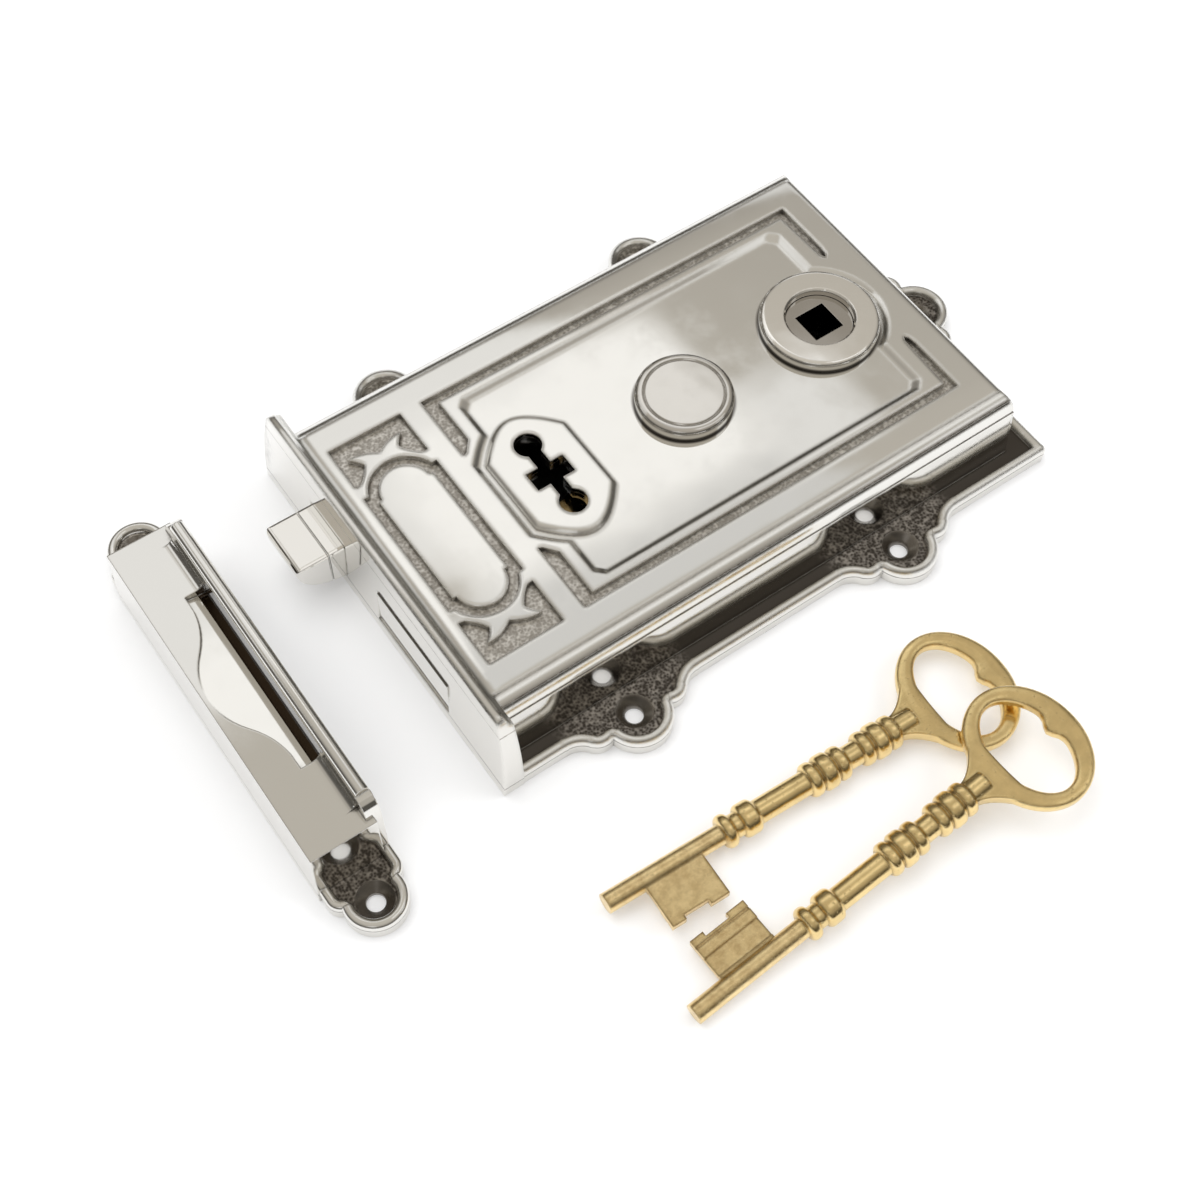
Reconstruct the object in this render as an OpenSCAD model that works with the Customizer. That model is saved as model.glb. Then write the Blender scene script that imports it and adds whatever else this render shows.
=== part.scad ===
// Rim box lock set: a surface-mounted lock, its box keep and two keys.
// Millimetres. +X runs from the forend to the tail, +Z points out of the door.
// The origin is the middle of the lock's back face.

/* [Case] */
// Length of the case behind the forend
case_l = 142; // [136:1:165]
// Width of the case between its long walls, at the top
case_w = 88; // [84:1:104]
// Height of the case's top face above the door
case_h = 23.2; // [22:0.2:30]
// Thickness of the case walls
wall_t = 2.6; // [2:0.1:3.2]
// Thickness of the roof under the sunken ornament
roof_t = 2.5; // [1.8:0.1:3]
// Outward lean of the walls from top to foot
draft = 1.2; // [0.4:0.1:1.6]
// Radius of the quarter-round along the long edges
ovolo_r = 4.2; // [2:0.1:4.6]
// Small step above the quarter-round
ovolo_step = 0.5; // [0.2:0.1:0.9]
// Radius of the rounded tail edge
tail_round = 2.4; // [1:0.1:3]

/* [Forend] */
// Thickness of the forend plate at its top
forend_t = 3.7; // [3:0.1:5]
// How far the forend stands above the case top
forend_rise = 3.3; // [2:0.1:5]
// Forward lean of the forend's face at its foot
forend_lean = 1.5; // [0.5:0.1:2]
// Overhang of the forend beyond each long wall, at the top
forend_over = 3.8; // [2:0.1:5]
// Flare of the forend's ends at the foot
forend_flare = 3.2; // [1:0.1:4]
// Radius of the lip along the forend's top
lip_r = 1.1; // [0.6:0.1:1.4]
// Length of the hollow between the lip and the case top
cove_l = 3; // [1.5:0.1:3.4]
// Radius of the forend's top corners
forend_corner = 2.6; // [1:0.1:4]

/* [Flange and ears] */
// Width of the flange outside the walls
flange_w = 6.8; // [6.4:0.1:8]
// Thickness of the flange floor
flange_t = 3; // [2.6:0.1:4]
// Width of the raised rim
rim_w = 2.6; // [1.8:0.1:2.8]
// Height of the raised rim
rim_h = 4.8; // [4.4:0.1:6]
// Distance of the first ear from the case front
ear_front = 29; // [26:1:32]
// Distance of the second ear from the case tail
ear_tail = 37; // [32:1:44]
// Distance of the ear hole from the wall
ear_v = 7.3; // [7:0.1:8]
// Offset of the ear's middle lobe beyond its hole
ear_out = 1.1; // [0:0.1:1.1]
// Radius of the ear's middle lobe
ear_r = 8.1; // [8.1:0.1:9]
// Radius of the small lobes beside it
side_r = 4.2; // [3.8:0.1:4.4]
// Offset of the small lobes along the edge
side_u = 9.6; // [9.2:0.1:10.2]
// Radius of the fillets where the ear meets the flange
ear_fillet = 6; // [4:0.5:8]
// Extra width of the flange at the tail
tail_out = 2.4; // [0:0.2:3]
// Radius of the screw holes
hole_r = 2.1; // [1.8:0.1:2.6]
// Radius of the countersinks
csk_r = 4.3; // [4:0.1:4.5]
// Depth of the countersinks
csk_d = 2; // [1.6:0.1:2.4]

/* [Ornament] */
// Depth of the sunken panel
relief_d = 1.2; // [0.6:0.1:1.4]
// Depth of the grooves and corner pieces
groove_d = 1.5; // [0.8:0.1:1.8]
// Plain border from the long walls to the frame groove
border = 11; // [9:0.5:13]
// Width of the frame groove
groove_w = 2.2; // [1.8:0.1:3]
// Plain strip between frame groove and sunken panel
strip_w = 2; // [1:0.1:2.5]
// Width of the panel's bevelled edge
bevel_w = 1.4; // [0.6:0.1:1.8]
// Distance of the cartouche from the case front
cartouche_x = 3.7; // [3:0.1:5]
// Width of the cartouche and of the corner pieces
cartouche_w = 19; // [17:0.5:20]
// Height of the corner pieces
spandrel_h = 12; // [11:0.2:13]
// Width of the cartouche groove
cart_groove = 2.4; // [1.6:0.1:3]
// Distance of the frame groove from the case front
frame_x = 28.3; // [27.5:0.1:29.5]
// Distance of the frame groove from the case tail
frame_tail = 8.5; // [7.5:0.1:10]
// Half width of the keyhole plate
plate_a = 10.8; // [9.6:0.1:11.2]
// Half height of the keyhole plate
plate_b = 18; // [16:0.2:20]
// Height of the keyhole plate above the sunken panel
plate_h = 1.4; // [0.6:0.1:2]
// Width of the sunken strip round the keyhole plate, at the top
plate_moat = 2.6; // [2:0.1:3]

/* [Keyhole] */
// Distance of the keyhole from the case front
keyhole_x = 41.8; // [40.5:0.1:43]
// Distance from the keyhole's middle to each round end
keyhole_y = 9.1; // [8:0.1:10]
// Radius of the keyhole's round ends
keyhole_r = 3.3; // [3:0.1:3.8]
// Width of the keyhole's slot
keyhole_w = 3.4; // [2.6:0.1:4]
// Length of the keyhole's cross arms
cross_l = 10; // [8:0.2:12]
// Width of the keyhole's cross arms
cross_w = 5.2; // [4:0.2:6]

/* [Spindle and button] */
// Distance of the spindle axis from the case tail
spindle_tail = 23.2; // [22:0.2:25]
// Side of the square spindle hole
spindle_sq = 8.1; // [7:0.1:9]
// Radius of the follower's journals
follower_r = 8.05; // [7.4:0.05:8.6]
// Radius of the follower's hub inside the case
hub_r = 9.6; // [9:0.1:10.4]
// Length of the follower's horn
horn_l = 15.7; // [15:0.1:16.5]
// Half width of the follower's horn
horn_r = 2; // [1.6:0.1:2.4]
// Turn of the follower that draws the latch in
follower_turn = 45; // [40:1:50]
// Radius of the collar ring
collar_r = 14.4; // [13:0.1:14.8]
// Height of the collar ring
collar_h = 3; // [2:0.1:4]
// Depth of the follower's end below the collar's top
follower_sunk = 2; // [0.5:0.1:2]
// Width of the sunken ring round the collar
collar_moat = 2.1; // [1.8:0.1:2.6]
// Distance of the button from the spindle axis
button_x = 39.8; // [38:0.2:41]
// Radius of the button
button_r = 11.6; // [10:0.1:13]
// Height of the button
button_h = 3.3; // [2.4:0.1:4.5]
// Radius of the ring engraved in the button
button_ring = 9.4; // [7:0.1:9.6]

/* [Bolts] */
// Height of the bolts' underside above the door
bolt_z = 4; // [3.6:0.1:5]
// Thickness of the bolts
bolt_h = 11; // [9:0.2:12]
// Latch bolt: near side, from the middle of the lock
latch_y = 14; // [13:0.2:16]
// Width of the latch bolt
latch_w = 14.6; // [12:0.2:15]
// Reach of the latch bolt out of the forend
latch_out = 12.2; // [11.6:0.2:14]
// Length of the latch bolt's body inside the case
latch_in = 13; // [11:0.5:13.5]
// Width of the latch bolt's tail
latch_tail_w = 3.8; // [3:0.1:4.4]
// Thickness of the latch bolt's tail
latch_tail_h = 4; // [3:0.1:5]
// Length of the hook that the horn pushes
hook_l = 5; // [4:0.2:6]
// Width of the deadbolt
dead_w = 28.6; // [26:0.2:30]
// Length of the deadbolt's head inside the case
dead_in = 19; // [16:0.5:20]
// Throw of the deadbolt
throw = 12; // [9:0.5:12]
// Thickness of the deadbolt's tail
dead_tail_h = 3.5; // [2.6:0.1:3.8]
// Distance of the tail's end from the keyhole
dead_tail_l = 36; // [34:0.5:38]
// Depth of the talon that the key turns in
talon_d = 5; // [4:0.2:6]
// Width of the talon
talon_w = 8; // [6:0.2:9]
// Radius of the bolt stump
stump_r = 2; // [1.6:0.1:2.2]
// Radius of the bolt guide pin
guide_r = 1.8; // [1.4:0.1:2]

/* [Levers] */
// Thickness of a lever
lever_t = 1.8; // [1.2:0.1:2]
// Thickness of the washer between the levers
spacer_t = 0.5; // [0.4:0.1:0.8]
// Radius of the lever post
post_r = 3; // [2.4:0.1:3.4]
// Lift of the levers over the whole throw
lever_lift = 4; // [3:0.2:4.4]
// Thickness of the levers' flat springs
leaf_t = 0.5; // [0.4:0.05:0.8]
// Wire radius of the latch spring
wire_r = 0.45; // [0.35:0.05:0.5]
// Mean radius of the latch spring
coil_r = 2.6; // [2.2:0.1:2.7]
// Curls of the latch spring
coil_n = 7; // [5:1:8]

/* [Back plate] */
// Thickness of the back plate
back_t = 1.6; // [1.2:0.1:2]
// Radius of the corner pillars in the case
pillar_r = 4.5; // [4:0.1:5]
// Radius of the back plate screws
screw_r = 1.5; // [1.2:0.05:1.6]
// Head radius of the back plate screws
screw_head = 2.9; // [2.4:0.1:3.2]
// Length of the back plate screws
screw_l = 9; // [7:0.5:12]

/* [Keep] */
// Gap between forend and keep as laid out
keep_gap = 28.3; // [24:0.1:34]
// Sideways place of the keep's middle as laid out
keep_y = -4.5; // [-8:0.5:4]
// Length of the keep's box
keep_l = 87.8; // [84:0.2:96]
// Width of the keep's box behind its front plate
keep_w = 13.9; // [13:0.1:17]
// Height of the keep's box
keep_h = 18.6; // [18:0.1:22]
// Thickness of the keep's front plate
keep_plate_t = 3.5; // [2.6:0.1:4]
// Rise of the front plate above the box
keep_rise = 6.4; // [3:0.1:8]
// Wall of the keep's box
keep_wall = 2.4; // [2:0.1:2.8]
// Half length of the mouth for the bolts
mouth_y = 32; // [31:0.5:36]
// Half length of the dished lead-in
scoop_y = 24.8; // [20:0.2:28]
// Depth of the dished lead-in at the mouth
scoop_d = 2.2; // [1.2:0.1:2.4]
// Width of the slit along the lead-in
slit_w = 1.8; // [1.8:0.1:2.2]
// Distance of the keep's ear hole from its box
keep_ear_v = 7.9; // [7:0.1:8.4]
// Radius of the keep's ears
keep_ear_r = 7.2; // [7:0.1:8]
// Radius of the small lobes beside the keep's ears
keep_side_r = 3.5; // [3:0.1:3.8]
// Radius of the hollow between the keep's box and its front plate
keep_cove = 3.2; // [2.4:0.1:3.6]

/* [Keys] */
// Length of a key from tip to bow end
key_l = 105.5; // [100:0.5:115]
// Radius of the key's pin
pin_r = 2.3; // [1.8:0.1:2.6]
// Radius of the rings on the shank
ring_r = 4.2; // [3.6:0.1:4.4]
// Distance from tip to bit
bit_x = 8.8; // [6:0.2:10]
// Length of the bit along the pin
bit_l = 14.2; // [12:0.2:15]
// Reach of the bit from the pin's axis
bit_reach = 12; // [11.6:0.2:13.8]
// Thickness of the bit
bit_t = 2.2; // [1.6:0.1:2.8]
// Length of the bow along the key
bow_l = 25.5; // [22:0.5:28]
// Width of the bow across the key
bow_w = 31; // [27:0.5:34]
// Thickness of the bow
bow_t = 3.4; // [2.6:0.1:4]

/* [Fits] */
// Running clearance of round fits
run_c = 0.08; // [0.03:0.01:0.1]
// Clearance of sliding bolts in their openings
slide_c = 0.25; // [0.15:0.05:0.4]
// Clearance of fixed pieces in their seats
seat_c = 0.05; // [0.02:0.01:0.1]

/* [Hidden] */
$fn = 64;
eps = 0.01;

x_front = -case_l/2;
x_tail = case_l/2;
y_wall = case_w/2;
panel_z = case_h - relief_d;
roof_z = panel_z - roof_t;
in_x0 = x_front + wall_t;
in_x1 = x_tail - wall_t;
in_y = y_wall - wall_t;

forend_h = case_h + forend_rise;
forend_top_y = y_wall + forend_over;
forend_foot_y = forend_top_y + forend_flare;
forend_x = x_front - forend_t;
forend_foot_x = forend_x - forend_lean;

ear_x = [x_front + ear_front, x_tail - ear_tail];

frame_y = y_wall - border;
panel_y = frame_y - groove_w - strip_w;
frame_x0 = x_front + frame_x;
frame_x1 = x_tail - frame_tail;
key_x = x_front + keyhole_x;
spindle_x = x_tail - spindle_tail;
btn_x = spindle_x - button_x;
panel_x0 = key_x - plate_a + 3.7;
panel_x1 = spindle_x + 8.7;
moat_r = collar_r + collar_moat;

bolt_mid = bolt_z + bolt_h/2;
latch_tip = forend_foot_x + forend_lean/2 - latch_out;
latch_y1 = latch_y + latch_w;
latch_back = x_front + latch_in;
tail_y1 = latch_y1 - 0.4;
tail_y0 = tail_y1 - latch_tail_w;
half_turn = follower_turn/2;
hook_gap = 0.3;
hook_x0 = spindle_x - horn_l*sin(half_turn) + horn_r + hook_gap;
hook_x1 = hook_x0 + hook_l;
hook_y0 = horn_l*cos(half_turn) + 0.3;
coil_y = tail_y1 - coil_r - wire_r - 0.15;

dead_x0 = forend_foot_x + 0.6;
dead_x1 = x_front + dead_in;
dead_tail_z1 = bolt_z + dead_tail_h;
tail_end = key_x + dead_tail_l;
tail_top_y = -1.5;
stump = [key_x + 11.2, -dead_w/2];
guide_y = -dead_w + 4.1;
guide_x = key_x + 19.2;
pivot = [tail_end + 7.2, -dead_w/2];
lever_z1 = dead_tail_z1 + 0.5;
spacer_z = lever_z1 + lever_t + seat_c;
lever_z2 = spacer_z + spacer_t + seat_c;
lever_top = lever_z2 + lever_t;
belly_r = bit_reach - 1.3;

pillar_x = case_l/2 - wall_t - pillar_r + 0.5;
pillar_y = in_y - pillar_r + 0.5;

keep_x = forend_foot_x - keep_gap + forend_lean;
keep_top = keep_h + keep_rise;
keep_roof = 2.8;
keep_back = -keep_plate_t - keep_w;

// Points of a curve from a to c pulled towards b
function bez(a, b, c, n = 8) =
    [for (i = [0:n]) let (t = i/n) (1-t)*(1-t)*a + 2*t*(1-t)*b + t*t*c];
// A list of points mirrored about the X axis, in reverse order
function flip_y(p) = [for (i = [len(p)-1:-1:0]) [p[i][0], -p[i][1]]];
// A list of points mirrored about the Y axis, in reverse order
function flip_x(p) = [for (i = [len(p)-1:-1:0]) [-p[i][0], p[i][1]]];

// A plan shape in the YZ plane, drawn out along X from x0 to x1
module along_x(x0, x1) {
    translate([x0, 0, 0]) rotate([90, 0, 90]) linear_extrude(x1 - x0) children();
}
// A plan shape in the XZ plane, drawn out along Y from y0 to y1
module along_y(y0, y1) {
    translate([0, y1, 0]) rotate([90, 0, 0]) linear_extrude(y1 - y0) children();
}
// Its children and their mirror image across the XZ plane
module both_y() {
    children();
    mirror([0, 1, 0]) children();
}
module block(x0, x1, y0, y1, z0, z1) {
    translate([x0, y0, z0]) cube([x1 - x0, y1 - y0, z1 - z0]);
}
module rod(x, y, r, z0, z1) {
    translate([x, y, z0]) cylinder(r = r, h = z1 - z0);
}

// Flange and ears

// Section of the raised rim, centred on its own middle line
module rim_section(drop = 0) {
    z = rim_h - rim_w/2 - drop;
    translate([-rim_w/2, 0]) square([rim_w, z]);
    translate([0, z]) circle(r = rim_w/2);
}
module rim_bar_x(x0, x1, y, drop = 0) {
    translate([0, y, 0]) along_x(x0, x1) rim_section(drop);
}
module rim_arc(u, v, r, a0, a1, drop = 0) {
    translate([u, v, 0]) rotate([0, 0, a0]) rotate_extrude(angle = a1 - a0) translate([r, 0]) rim_section(drop);
}
// A knuckle that covers the joint between two stretches of rim
module knuckle(u, v) {
    kr = rim_w/2 + 0.1;
    z = rim_h - rim_w/2;
    translate([u, v, 0]) rotate_extrude() {
        square([kr, z]);
        intersection() {
            translate([0, z]) circle(r = kr);
            square([kr + 1, rim_h + 1]);
        }
    }
}
// Angle that a short length takes up on an arc
function arc_deg(len, r) = len/r*180/PI;

lobe_v = ear_v + ear_out;
side_v = lobe_v - 1.8;
fillet_v = flange_w + ear_fillet;
span = side_u + sqrt(pow(side_r + ear_fillet, 2) - pow(fillet_v - side_v, 2));
rim_short = 0.25;
// Degrees by which the rims of two lobes run past the notch between them
rim_lap = 4;

// Where a lobe of radius r, at p from the middle of a lobe of radius r0, leaves it
function notch(r0, r, p) = let (d = norm(p), a = (r0*r0 - r*r + d*d)/(2*d), h = sqrt(r0*r0 - a*a))
    [a*p[0] - h*p[1], a*p[1] + h*p[0]]/d;
function way(p) = atan2(p[1], p[0]);
// The rim turned about a notch, from the way towards one lobe's middle to the way towards the other's
module rim_turn(u, v, a0, a1) {
    thin = 0.3;
    z = rim_h - rim_w/2 - 0.06;
    translate([u, v, 0]) rotate([0, 0, a0 - 5]) rotate_extrude(angle = a1 - a0 + 10) translate([rim_w/2, 0]) {
        translate([(thin - rim_w)/2, 0]) square([rim_w - thin, z]);
        translate([0, z]) circle(r = (rim_w - thin)/2);
    }
}
// Floor between a middle lobe at height v0 and the small lobes beside it
module lobe_floor(r0, r, v0, p, n) {
    bis = 180 + (way(n) + way(n - p))/2;
    tuck = n + rim_w/2*[cos(bis), sin(bis)];
    linear_extrude(flange_t) {
        translate([0, v0]) circle(r = r0 - rim_w/2);
        polygon([[-p[0], 0], [-p[0], v0 + p[1]], [-tuck[0], v0 + tuck[1]], [tuck[0], v0 + tuck[1]],
            [p[0], v0 + p[1]], [p[0], 0]]);
        for (s = [-1, 1]) translate([s*p[0], v0 + p[1]]) circle(r = r - rim_w/2);
    }
}

// A scalloped ear on a wall that runs along X with its outside towards +Y
module ear() {
    a_fil = atan2(fillet_v - side_v, span - side_u);
    lobe = side_r - rim_w/2;
    fil = ear_fillet + rim_w/2;
    p = [side_u, side_v - lobe_v];
    n = notch(ear_r, side_r, p);
    lobe_floor(ear_r, side_r, lobe_v, p, n);
    translate([-span, -1, 0]) cube([2*span, side_v + 1, flange_t]);
    rim_arc(0, lobe_v, ear_r - rim_w/2, way(n) - rim_lap, 180 + rim_lap - way(n));
    for (s = [0, 1]) mirror([s, 0, 0]) {
        rim_turn(n[0], lobe_v + n[1], 180 + way(n), 180 + way(n - p));
        rim_arc(side_u, side_v, lobe, a_fil + arc_deg(rim_short, lobe), way(n - p) + 2*rim_lap);
        knuckle(side_u + lobe*cos(a_fil), side_v + lobe*sin(a_fil));
        rim_arc(span, fillet_v, fil, 180 + a_fil + arc_deg(rim_short, fil), 270 - arc_deg(rim_short, fil));
        knuckle(span, flange_w - rim_w/2);
    }
}
module ear_drill(v) {
    translate([0, v, -1]) cylinder(r = hole_r, h = flange_t + 2);
    translate([0, v, flange_t - csk_d]) cylinder(r1 = hole_r, r2 = csk_r, h = csk_d);
    translate([0, v, flange_t - eps]) cylinder(r = csk_r, h = rim_h);
}
module at_long_ears() {
    both_y() for (x = ear_x) translate([x, y_wall, 0]) children();
}
module at_tail_ear() {
    translate([x_tail + tail_out, 0, 0]) rotate([0, 0, -90]) children();
}

module flange() {
    y_rim = y_wall + flange_w - rim_w/2;
    x_rim = x_tail + tail_out + flange_w - rim_w/2;
    block(x_front - 1, x_rim, -y_rim, y_rim, 0, flange_t);
    both_y() {
        rim_bar_x(x_front - 1, ear_x[0] - span - rim_short, y_rim);
        rim_bar_x(ear_x[0] + span + rim_short, ear_x[1] - span - rim_short, y_rim);
        rim_bar_x(ear_x[1] + span + rim_short, x_rim - rim_short, y_rim);
        knuckle(x_rim, y_rim);
        translate([x_rim, 0, 0]) rotate([0, 0, 90]) rim_bar_x(span + rim_short, y_rim - rim_short, 0);
    }
    at_long_ears() ear();
    at_tail_ear() ear();
}

// Case body and forend

module case_block() {
    intersection() {
        along_x(x_front - 1, x_tail + draft)
            polygon([[-y_wall - draft, 0], [y_wall + draft, 0], [y_wall, case_h], [-y_wall, case_h]]);
        along_y(-case_w, case_w)
            polygon([[x_front - 2, 0], [x_tail + draft, 0], [x_tail, case_h], [x_front - 2, case_h]]);
    }
}
// What is cut away to round the tail edge
module tail_cut() {
    r = tail_round;
    xc = x_tail - r;
    along_y(-case_w, case_w) difference() {
        translate([xc, case_h - r]) square([r + draft + 1, r + 1]);
        translate([xc, case_h - r]) circle(r = r);
    }
}
// What is cut away to leave the quarter-round on a long edge
module ovolo_cut() {
    yc = y_wall - ovolo_r;
    zc = case_h - ovolo_step - ovolo_r;
    both_y() along_x(x_front - 2, x_tail + draft + 1) difference() {
        translate([yc, zc]) square([ovolo_r + draft + 1, ovolo_r + ovolo_step + 1]);
        translate([yc, zc]) circle(r = ovolo_r);
    }
}
module forend() {
    c = forend_corner;
    lip_z = forend_h - lip_r;
    lip_x = forend_x + lip_r;
    lip = [for (t = [180:-15:0]) [lip_x + lip_r*cos(t), lip_z + lip_r*sin(t)]];
    side = concat(bez([forend_foot_y, 3], [forend_foot_y, forend_h/2], [forend_top_y, forend_h - c]),
        bez([forend_top_y, forend_h - c], [forend_top_y, forend_h], [forend_top_y - c, forend_h], 6));
    hollow = bez([lip_x + lip_r, lip_z], [lip_x + lip_r, case_h], [x_front + cove_l, case_h - eps]);
    intersection() {
        along_x(forend_foot_x - 1, x_front)
            polygon(concat([[-forend_foot_y, 0], [forend_foot_y, 0]], side, flip_x(side)));
        along_y(-forend_foot_y - 1, forend_foot_y + 1)
            polygon(concat([[forend_foot_x, 0]], lip, hollow, [[x_front + cove_l, 0]]));
    }
    along_y(ovolo_r - y_wall, y_wall - ovolo_r)
        polygon(concat([[x_front - 1, case_h - 1]], hollow, [[x_front + cove_l, case_h - 1]]));
}

// Ornament on the top face

// A sunken shape with sloping sides: its plan is drawn by the child at full size and at the floor
module sunk(z0, z1) {
    hull() {
        translate([0, 0, z0]) linear_extrude(eps) children(0);
        translate([0, 0, z1]) linear_extrude(eps) children(1);
    }
}
module panel_plan(d) {
    c = 2;
    x0 = panel_x0 + d;
    x1 = panel_x1 - d;
    y = panel_y - d;
    polygon([[x0 + c, -y], [x1 - c, -y], [x1, -y + c], [x1, y - c], [x1 - c, y], [x0 + c, y], [x0, y - c], [x0, -y + c]]);
}
module plate_bay_plan(d) {
    polygon(plate_pts(d - plate_moat));
}
module sunken_panel() {
    top = case_h + 0.3;
    grow = -0.3*bevel_w/relief_d;
    sunk(panel_z, top) {
        panel_plan(bevel_w);
        panel_plan(grow);
    }
    translate([key_x, 0, 0]) sunk(panel_z, top) {
        plate_bay_plan(bevel_w);
        plate_bay_plan(grow);
    }
    translate([spindle_x, 0, panel_z])
        cylinder(r1 = moat_r - bevel_w, r2 = moat_r - grow, h = top - panel_z);
}
// Plan of the keyhole plate: straight sides with curved ends
function plate_pts(d) =
    let (a = plate_a - d, b = plate_b - d, q = bez([a, 0.56*b], [0.42*a, b], [0, b], 10))
    concat(q, flip_x(q), flip_y(concat(q, flip_x(q))));
module keyhole_plate() {
    translate([key_x, 0, 0]) hull() {
        translate([0, 0, panel_z - eps]) linear_extrude(plate_h*0.4) polygon(plate_pts(0));
        translate([0, 0, panel_z - eps]) linear_extrude(plate_h) polygon(plate_pts(0.9));
    }
}
module keyhole_plan() {
    for (s = [-1, 1]) translate([0, s*keyhole_y]) circle(r = keyhole_r);
    square([keyhole_w, 2*keyhole_y], center = true);
    square([cross_l, cross_w], center = true);
}
// The frame groove's far half: a long side with a short return at each end
module frame_half() {
    y1 = frame_y;
    y0 = frame_y - groove_w;
    stub = frame_y - 0.55*frame_y;
    polygon([[frame_x0, y1], [frame_x0, stub], [frame_x0 + 1, stub + 0.4], [frame_x0 + 3.4, stub + 3.4],
        [frame_x0 + 3.4, y0], [frame_x1 - groove_w, y0], [frame_x1 - 0.75*groove_w, stub + 1.2],
        [frame_x1 - 0.45*groove_w, stub], [frame_x1 - 0.15*groove_w, stub + 0.8], [frame_x1, stub + 3],
        [frame_x1, y1]]);
}
// A corner piece: a sunken field with two leaf points and a cusp left standing in it
module spandrel() {
    w = cartouche_w/2;
    h = spandrel_h;
    leaf = concat(
        bez([w - 1.4, 0.2], [w - 3.4, 1.6], [4.5, 0.37*h], 6),
        bez([4.5, 0.37*h], [5.4, 0.52*h], [7, 0.63*h], 5),
        bez([7, 0.63*h], [3.4, 0.66*h], [0, 0.45*h], 6));
    polygon(concat([[w, h], [w, 0]], leaf, [for (p = flip_x(leaf)) p], [[-w, 0], [-w, h]]));
}
module cartouche_plan(d) {
    w = cartouche_w/2 - d;
    shoulder = frame_y - spandrel_h - 3.5 - d;
    square([2*w, 2*shoulder], center = true);
    for (s = [-1, 1]) translate([0, s*(shoulder + d - 2.6)]) circle(r = 8.6 - d);
}
module ornament() {
    cx = x_front + cartouche_x + cartouche_w/2;
    translate([0, 0, case_h - groove_d]) linear_extrude(2*groove_d) {
        both_y() {
            frame_half();
            translate([cx, frame_y - spandrel_h]) spandrel();
        }
        translate([cx, 0]) difference() {
            cartouche_plan(0);
            cartouche_plan(cart_groove);
        }
    }
}

// Inside of the case

module cavity() {
    difference() {
        block(in_x0, in_x1, -in_y, in_y, -1, roof_z);
        for (sx = [-1, 1], sy = [-1, 1]) rod(sx*pillar_x, sy*pillar_y, pillar_r, back_t, roof_z + 1);
    }
}
module at_screws() {
    for (sx = [-1, 1], sy = [-1, 1]) translate([sx*pillar_x, sy*pillar_y, 0]) children();
}
module bolt_openings() {
    c = slide_c;
    block(forend_foot_x - 1, in_x0 + 1, latch_y - c, latch_y1 + c, bolt_z - c, bolt_z + bolt_h + c);
    block(forend_foot_x - 1, in_x0 + 1, -dead_w - c, c, bolt_z - c, bolt_z + bolt_h + c);
}

module case() {
    color("silver") difference() {
        union() {
            difference() {
                union() {
                    case_block();
                    flange();
                }
                ovolo_cut();
                tail_cut();
                sunken_panel();
            }
            keyhole_plate();
            forend();
        }
        ornament();
        cavity();
        bolt_openings();
        at_long_ears() ear_drill(ear_v);
        at_tail_ear() ear_drill(ear_v);
        at_screws() cylinder(r = screw_r + seat_c, h = screw_l + 1);
        rod(spindle_x, 0, follower_r + run_c, roof_z - 1, case_h + 1);
        rod(btn_x, 0, 4 + seat_c, roof_z - 1, case_h + 1);
        translate([key_x, 0, roof_z - 1]) linear_extrude(case_h) keyhole_plan();
    }
}

module back_plate() {
    c = seat_c;
    color("dimgray") difference() {
        block(in_x0 + c, in_x1 - c, -in_y + c, in_y - c, 0, back_t);
        rod(spindle_x, 0, follower_r + run_c, -1, back_t + 1);
        rod(guide_x, guide_y, guide_r + c, -1, back_t + 1);
        rod(pivot[0], pivot[1], post_r + c, -1, back_t + 1);
        translate([key_x, 0, -1]) linear_extrude(back_t + 2) keyhole_plan();
        at_screws() {
            translate([0, 0, -1]) cylinder(r = screw_r + c, h = back_t + 2);
            translate([0, 0, -eps]) cylinder(r1 = screw_head + c, r2 = screw_r + c, h = back_t);
        }
    }
}
module back_plate_screws() {
    color("gray") at_screws() difference() {
        union() {
            cylinder(r1 = screw_head, r2 = screw_r, h = back_t - 0.05);
            cylinder(r = screw_r, h = screw_l);
        }
        translate([-screw_head - 1, -0.4, -1]) cube([2*screw_head + 2, 0.8, 1.6]);
    }
}

// Turned pieces on the top face

module collar() {
    e = 1.2;
    color("silver") translate([spindle_x, 0, panel_z]) rotate_extrude() {
        r0 = follower_r + run_c;
        polygon(concat([[r0, 0], [collar_r, 0], [collar_r, collar_h - e]],
            [for (a = [15:15:75]) [collar_r - e + e*cos(a), collar_h - e + e*sin(a)]],
            [[collar_r - e, collar_h], [r0 + 0.5, collar_h], [r0, collar_h - 0.5]]));
    }
}
module button() {
    e = 1.3;
    g = 0.35;
    color("silver") translate([btn_x, 0, panel_z]) rotate_extrude()
        polygon(concat([[0, -roof_t - 1], [5, -roof_t - 1], [5, -roof_t], [4, -roof_t], [4, 0], [button_r, 0],
            [button_r, button_h - e]],
            [for (a = [15:15:75]) [button_r - e + e*cos(a), button_h - e + e*sin(a)]],
            [[button_r - e, button_h], [button_ring + g, button_h], [button_ring, button_h - 0.4],
             [button_ring - g, button_h], [0, button_h]]));
}

// Follower, latch bolt and latch spring

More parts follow.
